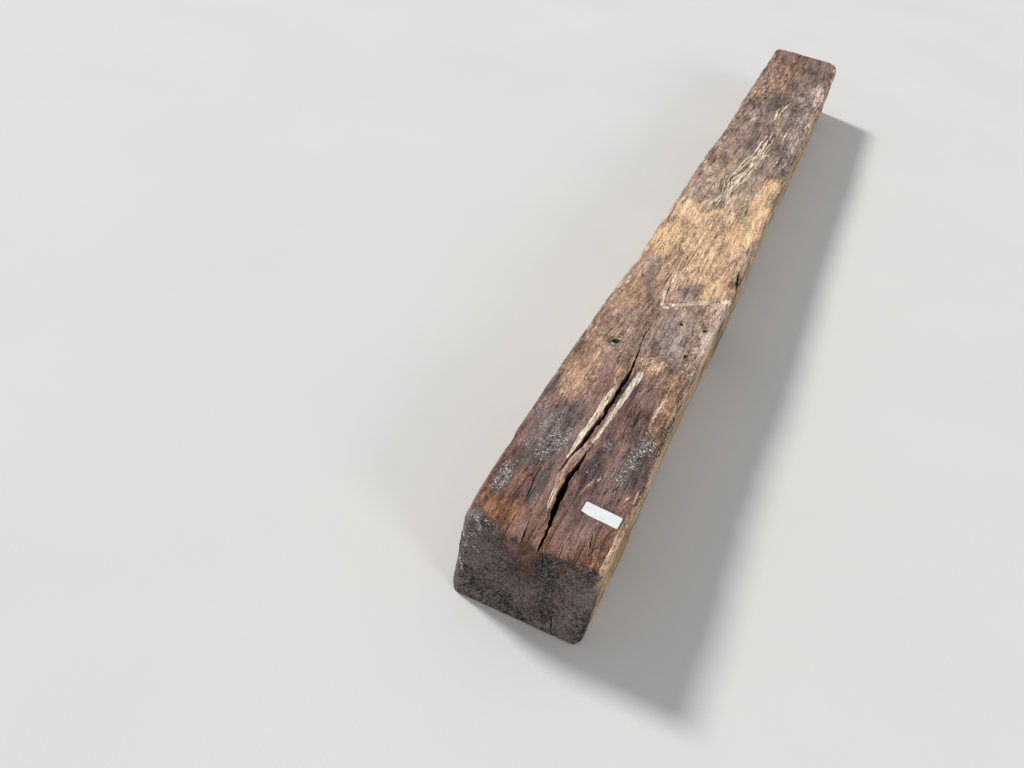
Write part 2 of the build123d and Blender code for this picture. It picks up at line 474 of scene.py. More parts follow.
# %% [markdown]
# ## Broken arrises
# Along the right edge splinters have broken away, and the weather has eaten the raw face into
# steps. Each break is a slanting plane that cuts the corner off, shallow at both ends and deepest
# a little before its middle. Points outside the plane are pushed back onto it, and noise that is
# long along the grain makes the steps.

# %% Broken arrises
# Each stretch: start and finish along, how far it reaches across and down, and its side
broken_stretches = (
    (166, 214, 9, 22, -1), (296, 470, 15, 24, -1), (452, 690, 12, 30, -1), (1835, 1990, 12, 20, -1),
    (520, 640, 9, 16, 1), (2240, 2420, 14, 18, 1),
)
proud = 6 * mm


def break_arris(points, start, finish, across, down, side):
    """Pushes the points of one broken stretch back onto its slanting, stepped plane."""
    start, finish = near_x + start * mm, near_x + finish * mm
    middle = start + 0.4 * (finish - start)
    x, y, z = points.T
    share = np.interp(x, (start, middle, finish), (0.1, 1.0, 0.1), left=0, right=0)
    reach = share * (across * mm + proud)
    drop = share * (down * mm + proud)
    slope = np.stack([drop, reach + proud], axis=1)
    slope /= np.maximum(np.linalg.norm(slope, axis=1), 1e-9)[:, None]
    beyond = (side * y - (width / 2 - reach)) * slope[:, 0] + (z - (height + proud)) * slope[:, 1]
    beyond += 5.0 * mm * (noise(points, (0.05, 0.006, 0.006), 41) - 0.45)
    beyond += 3.0 * mm * (noise(points, (0.014, 0.0035, 0.0035), 42) - 0.5)
    push = np.where(share > 0, np.maximum(beyond, 0), 0)
    points[:, 1] -= side * push * slope[:, 0]
    points[:, 2] -= push * slope[:, 1]


for stretch in broken_stretches:
    break_arris(skin, *stretch)
print("broken stretches", len(broken_stretches))

# %% [markdown]
# ## Where the grain runs
# Grain is not straight: it wanders, flows round knots and curls where a branch stood. Every later
# pattern, in the mesh and in the material, reads the same grain coordinates, so that cracks,
# streaks and fibres agree. The coordinates start as the point's own place. Near a knot the
# across-value turns into the distance from the knot's heart, which bends the lines into rings.

# %% Grain coordinates
# Each knot: distance from the near end, place across, reach along and across, in millimetres
knots = (
    (1300, 52, 58, 26), (1886, 52, 44, 20), (856, 66, 80, 26), (1430, 74, 50, 24), (2180, -48, 60, 26),
)


def grain_coordinates(points):
    """Along, across and up values that follow the grain, in metres."""
    x, y, z = points.T
    wander = 9 * mm * (noise(points, (0.33, 0.12, 0.12), 11) - 0.5)
    wander += 3.5 * mm * (noise(points, (0.11, 0.04, 0.04), 12) - 0.5)
    across = y + wander
    up = z + wander
    for along_mm, across_mm, reach_x, reach_y in knots:
        dx = (x - near_x - along_mm * mm) / (reach_x * mm)
        dy = (y - across_mm * mm) / (reach_y * mm)
        away = np.hypot(dx, dy)
        away = away + 0.5 * (noise(points, (0.03, 0.016, 0.016), 13) - 0.5)
        hold = np.exp(-1.3 * away * away) * ease(z, height - 0.06, height - 0.03)
        across = across * (1 - hold) + (across_mm * mm + reach_y * mm * away) * hold
    return np.stack([x, across, up], axis=1)


skin_grain = grain_coordinates(skin)
print("knots", len(knots))

# %% [markdown]
# ## Weathered relief
# Rain and sun eat the soft early wood and leave the hard late wood standing, so the surface turns
# into long shallow grooves. Old adze and axe marks lie under them as broad hollows. The rail seats
# are not grooved but crushed and pitted, and the sawn ends are furred rather than grooved. All of
# it moves the points along their own normals. Anything finer than the grid is left to the bump in
# the material.

# %% Weathered relief


def mesh_from(name, points, faces):
    """A mesh object at the origin from arrays of points and equal-sided faces."""
    mesh = bpy.data.meshes.new(name)
    mesh.vertices.add(len(points))
    mesh.vertices.foreach_set("co", points.astype(np.float32).ravel())
    mesh.loops.add(faces.size)
    mesh.loops.foreach_set("vertex_index", faces.astype(np.int32).ravel())
    mesh.polygons.add(len(faces))
    starts = np.arange(0, faces.size, faces.shape[1], dtype=np.int32)
    mesh.polygons.foreach_set("loop_start", starts)
    mesh.update()
    mesh.validate()
    return add_object(name, mesh)


def read_vectors(items, key):
    """One vector for each item of a mesh's list, as an array."""
    values = np.zeros(len(items) * 3, np.float32)
    items.foreach_get(key, values)
    return values.reshape(-1, 3)


def weathering(points, grain, normals):
    """How far each point stands out of the hewn skin, in metres."""
    x, y, z = points.T
    end = ease(np.abs(normals[:, 0]), 0.6, 0.9)
    seat = seat_share(x, y) * ease(z, height - 0.03, height - 0.015)
    lined = (1 - end) * (1 - 0.75 * seat)
    # Each pattern runs from 0 to 1, and its factor below is a height in millimetres
    groove = noise(grain, (0.16, 0.0065, 0.0065), 21)
    furrow = 1 - np.abs(2 * noise(grain, (0.26, 0.016, 0.016), 22) - 1)
    fibre = noise(grain, (0.045, 0.0036, 0.0036), 23)
    hollow = noise(points, (0.10, 0.055, 0.055), 24)
    chop = noise(points, (0.035, 0.022, 0.022), 25)
    pit = noise(points, (0.0075, 0.0065, 0.0065), 26)
    rise = lined * (1.3 * (groove - 0.5) + 0.8 * (fibre - 0.5) - 1.5 * ease(furrow, 0.86, 1.0))
    rise += 2.4 * (hollow - 0.5) + 0.9 * (chop - 0.5) * (1 - end)
    rise += seat * (1.4 * (pit - 0.5) - 0.8 * ease(pit, 0.62, 0.85))
    rise += end * (1.1 * (pit - 0.5) + 0.9 * (noise(points, (0.004, 0.0042, 0.0042), 27) - 0.5))
    by_arris = 1 - ease(inside_long_faces(x, y), 0.004, 0.018)
    worn = ease(z, height - 0.03, height - 0.012) * by_arris
    rise -= worn * 2.6 * ease(noise(grain, (0.028, 0.012, 0.012), 28), 0.45, 0.85)
    rise *= ease(z, 0.0, 0.006)
    return rise * mm


timber = mesh_from("timber_piece", skin, quads)
relief = weathering(skin, skin_grain, read_vectors(timber.data.vertex_normals, "vector"))
print("relief from", round(relief.min() / mm, 2), "to", round(relief.max() / mm, 2), "mm")

# %% [markdown]
# ## Paths and patches on the top face
# Much of what the eye reads on this timber lies along a path or fills a patch: pale torn strips
# beside the split, the greyed rail seat, golden wood in the middle. Both are written as short
# lists in millimetres: distance from the near end and place across. One function measures how near
# a point is to a path, another how deep it lies in a patch, and both return a mask from 0 to 1.

# %% Masks from paths and patches


def near_path(points, stops, soft=1.0, ragged=0.0):
    """Mask round a path. Each stop: along, across and half width in millimetres."""
    x = (points[:, 0] - near_x) / mm
    y = points[:, 1] / mm
    mask = np.zeros(len(points))
    for (x1, y1, w1), (x2, y2, w2) in zip(stops[:-1], stops[1:]):
        reach = max(w1, w2) + 2 * soft + 1 + ragged
        near = (x > min(x1, x2) - reach) & (x < max(x1, x2) + reach)
        near &= (y > min(y1, y2) - reach) & (y < max(y1, y2) + reach)
        px, py = x[near] - x1, y[near] - y1
        if ragged:
            part = points[near]
            torn_edge = noise(part, (0.045, 0.02, 1), 33) + 0.4 * noise(part, (0.011, 0.006, 1), 34)
            py = py + ragged * (torn_edge - 0.7)
        dx, dy = x2 - x1, y2 - y1
        share = np.clip((px * dx + py * dy) / (dx * dx + dy * dy), 0, 1)
        away = np.hypot(px - share * dx, py - share * dy) - (w1 + (w2 - w1) * share)
        mask[near] = np.maximum(mask[near], 1 - ease(away, -soft, soft))
    return mask


def near_paths(points, paths, soft, ragged=0.0, half_width=None):
    """The strongest mask of several paths. Stops without a width of their own get this one."""
    mask = np.zeros(len(points))
    for path in paths:
        stops = path if half_width is None else [(x, y, half_width) for x, y in path]
        mask = np.maximum(mask, near_path(points, stops, soft, ragged))
    return mask


def in_patch(points, patches, ragged=0.8):
    """Mask of soft ovals with ragged edges. Each: along, across, half sizes and strength."""
    x = (points[:, 0] - near_x) / mm
    y = points[:, 1] / mm
    torn = noise(points, (0.05, 0.016, 0.016), 31) + 0.5 * noise(points, (0.016, 0.007, 0.007), 32)
    mask = np.zeros(len(points))
    for along, across, half_long, half_wide, strength in patches:
        away = np.hypot((x - along) / half_long, (y - across) / half_wide)
        away += ragged * (torn - 0.75)
        mask = np.maximum(mask, strength * (1 - ease(away, 0.25, 1.35)))
    return mask


print("a point on a path's line has the mask", near_path(skin[:1] * 0, ((1290, 0, 5), (1300, 0, 5))))

# %% Paths and patches
# Cream strips of raw wood beside the two splits and at the rail seat
cream_paths = (
    (
        (208, 20.5, 1.6), (240, 19, 3.4), (270, 17.5, 4.8), (320, 13, 5.4), (372, 11.5, 5.2),
        (398, 11, 4), (430, 8.5, 1),
    ),
    (
        (262, -5, 1.4), (285, -7.5, 2.8), (330, -11, 4.2), (372, -12.8, 5), (430, -15.8, 6.2),
        (480, -20.5, 6.6), (488, -22, 4),
    ),
    ((733, 12, 4.6), (750, 14, 5.2), (787, 19.5, 3.2)),
    ((724, 2, 4), (744, -20, 6.2), (766, -44, 4), (782, -64, 1)),
    ((776, -72, 1), (796, -88, 3.4), (824, -114, 5.6)),
)
# Paler, tan edges: lips of the first split, seat ridge, chip, worn arris and pinkish streaks
lip_paths = (
    ((60, -1, 1), (100, 6.5, 1.6), (126, 9, 2.4), (149, 11, 2.6), (175, 12, 2.2), (200, 14, 1.2)),
    ((120, -7.5, 0.8), (160, 4.4, 0.9), (204, 11.5, 1.2), (240, 4.6, 1.4), (270, -3.6, 1.4)),
    ((150, -4, 0.8), (196, 1.6, 1), (236, -2.4, 1), (262, -8, 1.2)),
    ((170, -95, 2.6), (177, -103, 3.2), (187, -111, 3.4), (204, -116, 2.4)),
    ((330, -78, 1.6), (406, -78, 2.6), (450, -90, 2)),
    ((793, 9, 2), (831, 12, 3), (895, 4, 4), (935, -2, 3), (977, -14, 1.4)),
    ((0, -110, 7), (90, -112, 6), (165, -114, 4)), ((768, -66, 2), (800, -96, 3), (826, -112, 3)),
    ((140, -28, 1.3), (166, -31, 1.5), (190, -44, 1.5), (204, -52, 1.2)),
    ((1800, -113, 3), (1960, -114, 4), (2090, -116, 3)), ((2380, -116, 3), (2560, -116, 4)),
)
# Ridges of fibrous wood that the weather left standing: distances along and places across
fibre_ridges = (
    ((1225, 30), (1273, 21), (1300, 19)), ((1296, 19), (1346, 21), (1377, 28), (1400, 30)),
    (
        (1404, 28), (1431, 19), (1461, 15), (1515, 10), (1554, 5), (1577, -2), (1611, -6), (1677, -7),
        (1750, -13),
    ),
    ((1231, -7), (1285, -6), (1315, 0), (1350, -4), (1385, -9), (1408, -15), (1446, -19), (1508, -26)),
    (
        (1315, 9), (1362, 6), (1392, 12), (1423, 5), (1462, -7), (1504, -13), (1562, -13), (1585, -22),
        (1612, -34),
    ),
    ((1562, -6), (1612, -20), (1654, -22), (1715, -20), (1754, -24), (1808, -20)),
    ((1440, 12), (1500, 4), (1545, -3), (1600, -14), (1650, -15)),
    ((1360, -2), (1420, -3), (1470, -14), (1530, -20)),
    ((1485, -26), (1531, -23), (1562, -30), (1592, -34), (1619, -45)),
    (
        (1250, 22), (1300, 13), (1350, 12), (1400, 20), (1440, 15), (1500, 2), (1560, -9), (1620, -27),
        (1700, -30),
    ),
    ((1270, 3), (1330, 4), (1390, 1), (1450, -10), (1520, -18), (1580, -28)),
    ((1230, 14), (1290, 12), (1340, 6)), ((1895, -9), (1925, -8), (1965, -3), (1990, -7)),
    ((1905, -16), (1960, -14), (2000, -20), (2050, -22)),
)
faint_ridges = (
    ((500, -20), (530, -29), (558, -25)), ((504, -40), (534, -47), (562, -43)),
    ((512, -8), (540, -12), (560, -6)), ((1560, -70), (1640, -78), (1740, -76), (1850, -84)),
    ((1520, -94), (1600, -98), (1700, -96), (1800, -102)), ((1700, -62), (1780, -60), (1860, -66)),
    ((1640, -36), (1720, -32), (1790, -36)), ((1470, -40), (1540, -38), (1600, -50)),
    ((1246, 74), (1266, 84), (1296, 87)), ((1262, 66), (1280, 74), (1312, 74), (1330, 64)),
    ((1268, 46), (1290, 40), (1325, 42)), ((1345, 78), (1356, 64), (1350, 50)),
    ((1290, 58), (1306, 62), (1320, 54)), ((1380, 96), (1420, 104), (1470, 100)),
    ((800, 14), (850, 12), (895, 5), (935, 0), (980, -4)),
    ((830, 26), (880, 24), (940, 14), (1000, 8), (1060, 4)),
    ((880, 42), (940, 34), (1000, 26), (1060, 22), (1120, 18), (1180, 22)),
    ((1060, 10), (1120, 8), (1180, 14), (1230, 20)), ((1100, -2), (1160, 2), (1225, 4)),
    ((1840, 52), (1862, 63), (1900, 66)), ((1850, 44), (1880, 46), (1908, 52)),
    ((2250, -70), (2290, -90), (2330, -112)), ((2200, -60), (2240, -74), (2280, -100)),
)
bundle_paths = (
    (
        (1225, 12, 14), (1300, 10, 20), (1400, 10, 20), (1480, -4, 20), (1560, -14, 20), (1640, -22, 18),
        (1700, -24, 14), (1800, -24, 8),
    ),
    ((1880, -12, 10), (1960, -14, 12), (2060, -22, 8)),
)
seat_guides = (
    ((727, 0), (748, -25), (762, -42), (792, -80), (818, -114)), ((740, -8), (768, -40), (826, -104)),
)
near_guides = (
    ((793, 10), (831, 13), (895, 5), (935, -1), (977, -12), (1040, -6)),
    ((790, 18), (850, 26), (905, 22), (1000, 10)), ((733, 12), (760, 16), (787, 20), (830, 22)),
    ((200, 20), (240, 18), (320, 12), (398, 10)), ((230, 2), (285, -7), (372, -12), (480, -20)),
    ((75, 0), (100, 6), (149, 12), (196, 17)), ((120, -8), (160, 4), (204, 11), (240, 5), (270, -3)),
    ((560, -112), (652, -114), (742, -113), (806, -117)),
)
# Each patch: distance along, place across, half length, half width and strength
ashen_patches = (
    (620, -42, 110, 52, 0.75), (700, -72, 100, 44, 0.5), (590, -78, 70, 34, 0.5), (590, 60, 90, 40, 0.3),
    (2190, -78, 190, 52, 0.7), (1690, -88, 240, 40, 0.85), (885, 72, 40, 34, 0.6),
    (1290, 52, 66, 34, 0.75), (1960, -70, 150, 50, 0.75), (1480, 10, 260, 30, 0.4),
    (790, -30, 50, 26, 0.45), (1886, 60, 60, 26, 0.4), (1180, 60, 40, 30, 0.3), (690, 6, 60, 16, 0.5),
    (1900, 30, 160, 30, 0.5),
)
golden_patches = (
    (1240, -84, 100, 34, 0.9), (1025, 74, 130, 50, 0.85), (1300, -86, 150, 30, 1.0),
    (1120, -70, 120, 52, 0.8), (1425, -90, 80, 24, 1.0), (850, -62, 60, 34, 1.0),
    (940, -30, 140, 60, 0.55), (1090, 10, 190, 90, 0.62), (1150, 70, 100, 46, 0.85),
    (930, 4, 110, 14, 0.6),
)
tan_patches = (
    (425, 84, 100, 36, 1.0), (560, 84, 110, 36, 0.6), (730, 80, 90, 44, 0.7), (450, -94, 120, 24, 0.85),
    (470, -86, 44, 14, 0.7), (345, -94, 50, 18, 0.5), (450, 14, 60, 20, 0.4), (520, -30, 50, 40, 0.6),
    (700, 90, 130, 30, 0.5), (900, 20, 220, 80, 0.4), (2260, 40, 240, 60, 0.45), (1760, 88, 120, 26, 0.4),
    (2080, 86, 160, 30, 0.4), (1560, 92, 120, 24, 0.35),
)
rusty_patches = (
    (48, 74, 36, 36, 1.0), (60, 92, 34, 18, 0.9), (62, 50, 34, 16, 0.9), (34, 96, 24, 18, 0.8),
    (100, 100, 60, 10, 0.5), (50, 40, 34, 14, 0.5), (36, -88, 40, 24, 0.45), (382, -32, 20, 8, 0.4),
    (150, -112, 60, 8, 0.4),
)
pale_patches = (
    (880, 8, 100, 12, 0.5), (525, -30, 34, 32, 0.7), (1860, 52, 44, 15, 0.5), (960, 30, 130, 12, 0.4),
    (1140, 10, 100, 12, 0.45), (440, 10, 36, 6, 0.6), (1300, 66, 50, 16, 0.45), (570, -92, 70, 20, 0.45),
    (745, -92, 70, 22, 0.6), (560, 106, 80, 10, 0.45), (420, -84, 70, 8, 0.5), (566, 54, 24, 12, 0.4),
    (1420, 100, 80, 14, 0.4), (650, 30, 60, 20, 0.3), (2050, 100, 60, 12, 0.4), (850, -70, 50, 14, 0.6),
)
blush_patches = (
    (2235, -94, 110, 26, 1.0), (2150, -104, 80, 14, 0.8), (1880, 56, 46, 14, 0.7),
    (520, -34, 34, 30, 0.45), (740, -20, 40, 14, 0.5), (700, -96, 130, 16, 0.55),
    (2470, -113, 70, 8, 0.8), (2568, -100, 26, 14, 0.7), (2090, 48, 34, 14, 0.5),
    (1960, -108, 130, 9, 0.6), (2040, 98, 60, 14, 0.5), (1620, 92, 90, 16, 0.4), (380, 84, 60, 20, 0.25),
    (770, 100, 60, 12, 0.4),
)
blush_paths = (((480, -110, 5), (548, -110, 8), (652, -110, 10), (742, -110, 9), (826, -114, 6)),)
straw_patches = (
    (856, -68, 50, 16, 1.0), (818, -56, 30, 12, 0.8), (1120, -84, 80, 26, 0.6), (1360, -94, 130, 20, 0.6),
    (990, 96, 70, 16, 0.5), (1220, -60, 60, 16, 0.5),
)
# Most dusky patches are darker weathered wood; the thin one at 440 along and -29 across is a painted shadow
# beside the second cream strip
dusky_patches = (
    (235, 66, 100, 44, 1.25), (554, 55, 17, 12, 1.2), (576, 50, 18, 5, 1.3), (275, 50, 60, 22, 1.1),
    (104, 92, 50, 16, 0.8), (130, 40, 66, 15, 1.0), (240, -84, 84, 24, 1.0), (225, -24, 70, 16, 0.75),
    (365, 110, 44, 10, 0.9), (440, -29, 64, 7, 0.8), (2178, -48, 34, 14, 0.75), (405, -8.5, 60, 4, 0.9),
    (2410, -50, 90, 50, 0.5), (120, -50, 90, 44, 0.5), (110, 14, 60, 10, 0.4), (2030, 6, 150, 38, 0.75),
    (1750, 24, 150, 22, 0.5), (2240, 0, 80, 24, 0.35), (516, 96, 8, 18, 0.6), (1902, 34, 30, 5, 0.9),
    (2540, -60, 50, 60, 0.5), (1222, 62, 14, 18, 0.45), (800, -26, 44, 18, 0.6), (820, -38, 44, 18, 0.7),
    (846, -50, 22, 9, 0.6), (640, -40, 50, 26, 0.3), (1240, -56, 20, 14, 0.35), (1560, -46, 90, 12, 0.35),
    (1700, 10, 140, 14, 0.35), (2450, 60, 60, 22, 0.4),
)
brown_paths = (
    ((700, 34, 3), (760, 46, 8), (820, 62, 10), (880, 82, 7)),
    ((545, 108, 2), (530, 100, 2), (522, 88, 1.5)),
)
lichen_patches = (
    (100, 92, 46, 12, 1.0), (210, 90, 36, 12, 0.5), (232, 54, 52, 22, 1.0), (290, 100, 40, 14, 0.45),
    (262, 82, 30, 12, 0.5), (212, -26, 22, 6, 0.7), (272, -28, 20, 9, 1.0), (205, -77, 26, 8, 0.7),
    (258, -82, 22, 9, 0.9), (300, -90, 26, 13, 1.2), (6, 92, 16, 18, 1.0), (430, -113, 170, 6, 0.5),
    (262, 40, 30, 10, 0.6),
)
print("paths", len(cream_paths) + len(lip_paths), "and patches", len(golden_patches) + len(tan_patches))

# %% [markdown]
# ## Torn strips stand away from the skin
# A pale strip is the raw face left by a splinter that has gone. It lies a little lower than the
# skin, with a sharp step on its outer edge. The near edge of the rail seat is the other way round:
# a low ridge pushed up by the rail's foot. Further on, ridges of fibrous wood stand out of a
# sunken bundle. All are added to the relief before the points move.

# %% Steps and ridges
top_share = ease(skin[:, 2], height - 0.02, height - 0.008)
fine_strands = noise(skin_grain, (0.06, 0.0034, 0.0034), 51)
torn_depth = 1.8 + 1.6 * (fine_strands - 0.5)
relief -= top_share * near_paths(skin, cream_paths, 0.8) * torn_depth * mm
seat_ridge = ((494, 2, 3), (532, -16, 4), (556, -40, 4.5), (560, -68, 3), (548, -94, 2))
seat_step = [(x + 9, y, 0.8) for x, y, _ in seat_ridge[1:]]
green_hollow = ((84, 34, 4), (130, 40, 7), (176, 46, 4))
dark_shelf = ((350, -7, 2.4), (410, -9, 3), (462, -12, 1.5))
# Each form: its path, the softness of its edge, and its rise in millimetres
forms = ((seat_ridge, 3.5, 1.8), (seat_step, 1.6, -2.0), (green_hollow, 3.0, -2.4), (dark_shelf, 1.2, -2.6))
for path, soft, rise in forms:
    relief += top_share * near_path(skin, path, soft) * rise * mm
standing = near_paths(skin, fibre_ridges, 1.4, 3.0, half_width=1.7)
standing = np.maximum(standing, 0.5 * near_paths(skin, faint_ridges, 1.6, 4.0, half_width=1.4))
sunken = near_paths(skin, bundle_paths, 5, 8.0)
relief += top_share * (standing * 1.9 - sunken * 1.1) * mm
# The strip of arris outside the long cleft is eaten into separate splinters
cleft_strip = ((306, -116, 8), (420, -116, 9), (592, -118, 7))
eaten = near_path(skin, cleft_strip, 2.5) * top_share
relief -= eaten * 3.4 * ease(noise(skin_grain, (0.022, 0.0042, 0.0042), 52), 0.35, 0.7) * mm
skin += read_vectors(timber.data.vertex_normals, "vector") * relief[:, None]
timber.data.vertices.foreach_set("co", skin.astype(np.float32).ravel())
timber.data.update()
print("steps up to", round(relief.max() / mm, 2), "mm and down to", round(relief.min() / mm, 2), "mm")

# %% [markdown]
# ## Splits and drying checks
# A split is a wedge of missing wood that follows the grain. It could be pressed into the grid by
# moving points, but its walls would be only as fine as the grid. Cutting it with a boolean keeps
# its lips sharp. The cutter is a long keel: at each station along its path it has a mouth, a depth
# and a root. Noise shared along the grain makes its lips wander and its walls fibrous.

# %% Keel-shaped cutters


def closed_object(name, points, faces):
    """A closed mesh object with its faces turned outwards."""
    mesh = bpy.data.meshes.new(name)
    mesh.from_pydata([tuple(p) for p in points], [], faces)
    shape = bmesh.new()
    shape.from_mesh(mesh)
    bmesh.ops.recalc_face_normals(shape, faces=shape.faces)
    shape.to_mesh(mesh)
    shape.free()
    return add_object(name, mesh)


def tube(name, rings, place):
    """A closed object from an array of rings of points, in millimetres, put in its place."""
    count, size = rings.shape[:2]
    faces = []
    for row in range(count - 1):
        for turn in range(size):
            a, b = row * size + turn, row * size + (turn + 1) % size
            faces.append((a, b, b + size, a + size))
    faces.append(tuple(range(size)))
    faces.append(tuple(range((count - 1) * size, count * size)))
    made = closed_object(name, rings.reshape(-1, 3) * mm, faces)
    made.data.transform(place)
    return made


def keel(name, stations, place, seed, step=3.0, wobble=1.0, lean=0.0):
    """A closed wedge. Each station: along, across, mouth and depth in millimetres."""
    stations = np.array(stations, dtype=float)
    count = max(4, round((stations[-1, 0] - stations[0, 0]) / step))
    along = np.linspace(stations[0, 0], stations[-1, 0], count)
    across, mouth, depth = (np.interp(along, stations[:, 0], stations[:, k]) for k in (1, 2, 3))
    line = np.stack([along * mm, np.zeros(count), np.zeros(count)], axis=1)
    across = across + wobble * 2.4 * (noise(line, (0.024, 1, 1), seed) - 0.5)
    across += wobble * 1.6 * (noise(line, (0.0062, 1, 1), seed + 1) - 0.5)
    mouth = mouth * (0.6 + 0.8 * noise(line, (0.008, 1, 1), seed + 2))
    walls = []
    for side in (-1, 1):
        wall = [np.stack([along, across + side * mouth / 2 * 1.15, np.full(count, proud / mm)], axis=1)]
        for number, level in enumerate((0.0, 0.18, 0.4, 0.65, 0.88), 1):
            half = mouth / 2 * (1 - level) ** 0.8
            rough = noise(line + (0, 0.02 * number, side), (0.013, 0.03, 1), seed + 3) - 0.5
            y = across + side * half + rough * np.minimum(mouth, 6) * 0.3 + lean * (level * depth)
            wall.append(np.stack([along, y, -level * depth], axis=1))
        walls.append(wall)
    root = np.stack([along, across + lean * depth, -depth], axis=1)
    return tube(name, np.stack(walls[0] + [root] + walls[1][::-1], axis=1), place)


on_top = Matrix.Translation((near_x, 0, height))
first_split = (
    (-20, -14, 3, 10), (30, -12.5, 5.5, 26), (78, -6.5, 9, 46), (108, -3, 12.5, 62), (138, -1, 12.5, 66),
    (168, 1, 10, 62), (200, -1.5, 7, 52), (232, -4.5, 3.5, 36), (274, -10, 1, 8),
)
second_split = (
    (160, 20, 1, 8), (196, 19, 4, 24), (215, 15.5, 6.5, 36), (240, 10.5, 8.5, 46), (290, 7, 8.5, 58),
    (350, 0.5, 8, 54), (415, -1.2, 7.5, 48), (471, -3, 7, 40), (500, -3, 5, 30), (524, 1, 4, 26),
    (560, 4, 3, 22), (600, 9, 3, 20), (640, 6.5, 2.4, 15), (722, 4, 0.8, 5),
)
cutters = [keel("first_split", first_split, on_top, 101, 2.0, 1.0, 0.1)]
cutters.append(keel("second_split", second_split, on_top, 111, 2.0, 1.2, 0.1))
print("split cutters have", [len(item.data.polygons) for item in cutters], "faces")

# %% [markdown]
# ## Checks, large and small
# A check is a short drying crack. The larger ones are those of the CAD model, two ends, a mouth
# and a depth. Between them a seasoned timber has many hairline ones. Their places are drawn at
# random from a fixed seed, kept along the grain and away from the splits.

# %% Checks in the top and the sides
# Each check: start, finish, mouth and depth. The last one is the slot in the right arris
top_checks = (
    ((-15, 14), (72, 23), 3.4, 22), ((-15, -47), (58, -41), 2.4, 14), ((6, -65), (60, -65), 2.0, 10),
    ((34, -79), (104, -71), 2.6, 14), ((6, -106), (64, -103), 2.0, 10), ((92, 44), (172, 51.5), 2.6, 14),
    ((310, -110), (588, -113), 4.0, 26), ((880, 7), (1090, -5), 2.2, 16), ((1180, 55), (1420, 47), 2.0, 14),
    ((1560, -23), (1830, -33), 2.4, 16), ((879, -116.5), (957, -103.5), 6.5, 26),
)


def check(name, start, finish, mouth, depth, place, seed, wobble=1.0):
    """A single drying check, deepest near its middle."""
    (x1, y1), (x2, y2) = start, finish
    shares = ((0.0, 0.3, 0.3), (0.3, 1.0, 0.9), (0.6, 0.9, 1.0), (1.0, 0.12, 0.15))
    stations = [(x1 + t * (x2 - x1), y1 + t * (y2 - y1), mouth * m, depth * d) for t, m, d in shares]
    return keel(name, stations, place, seed, 3.0, wobble)


for number, measures in enumerate(top_checks):
    cutters.append(check(f"check_{number}", *measures, on_top, 130 + 7 * number))
print("checks in the top face", len(top_checks))

# %% Hairline checks
# In millimetres: the room kept from the rail seat, from the splits, the label and other checks
hairline_count, most_tries = 26, 400
seat_middle, seat_room = 630, 170
split_room, split_end = 24, 760
label_start, label_end, label_edge = 60, 140, -30
end_room, row_room = 12, 13
random = np.random.default_rng(34)
hairlines = [((733, 6), (868, 24), 2.4, 9), ((1262, 26), (1420, 15), 2.2, 7)]
hairlines.append(((1440, 0), (1640, -24), 2.4, 8))
tries = 0
while len(hairlines) < hairline_count and tries < most_tries:
    tries += 1
    x1, y1 = random.uniform(-15, 2450), random.uniform(-100, 100)
    reach = random.uniform(50, 170)
    x2, y2 = x1 + reach, y1 + reach * random.uniform(-0.05, 0.02)
    clear = min(abs(y1), abs(y2)) > split_room or x1 > split_end
    clear = clear and abs(x1 - seat_middle) > seat_room
    clear = clear and not (label_start < x1 < label_end and y1 < label_edge)
    for (ox1, oy1), (ox2, oy2), _, _ in (*top_checks, *hairlines):
        beside = x1 < ox2 + end_room and x2 > ox1 - end_room
        if beside and abs((oy1 + oy2) / 2 - (y1 + y2 + y1) / 3) < row_room:
            clear = False
    if clear:
        hairlines.append(((x1, y1), (x2, y2), random.uniform(0.9, 1.7), random.uniform(5, 10)))
for number, measures in enumerate(hairlines):
    cutters.append(check(f"hairline_{number}", *measures, on_top, 300 + 7 * number, 0.7))
print("hairline checks", len(hairlines), "after", tries, "tries")

# %% Checks in the long faces
# The left face has the same checks as the right one, a little shifted
side_checks = (
    ((40, 60), (560, 52), 2.4, 12), ((120, 112), (330, 118), 2.0, 9), ((620, 96), (1180, 104), 2.6, 14),
    ((700, 40), (980, 34), 1.8, 8), ((1240, 62), (1760, 56), 2.4, 12), ((1420, 124), (1900, 118), 2.0, 10),
    ((1960, 84), (2540, 92), 2.6, 14), ((2120, 38), (2400, 42), 1.8, 8),
)
quarter_turn = math.radians(90)
right_side = Matrix.Translation((near_x, -width / 2 + 4 * mm, 0)) @ Matrix.Rotation(quarter_turn, 4, "X")
left_side = Matrix.Translation((near_x, width / 2 - 8 * mm, 0)) @ Matrix.Rotation(-quarter_turn, 4, "X")
for number, (start, finish, mouth, depth) in enumerate(side_checks):
    seed = 500 + 7 * number
    cutters.append(check(f"right_check_{number}", start, finish, mouth, depth, right_side, seed))
    start, finish = (start[0] + 25, start[1] - 186), (finish[0] - 30, finish[1] - 180)
    cutters.append(check(f"left_check_{number}", start, finish, mouth, depth, left_side, seed + 100))
print("cutters", len(cutters))

# %% [markdown]
# ## Checks in the sawn ends
# The ends dry first, so they crack too, from the heart outwards. The same keel is stood on the end
# face: a matrix turns its path into the plane of the end and its depth into the timber.

# %% End checks
# Each check: start and finish, across and up, then its mouth and depth
near_checks = (
    ((-57, 46), (-70, -6), 2.6, 40), ((-15, 182), (-27, 128), 2.2, 26), ((70, 60), (118, 84), 1.8, 24),
)
far_checks = (((10, 70), (24, 182), 3.0, 60), ((0, 84), (-80, 120), 2.2, 34), ((18, 60), (60, -6), 2.2, 34))


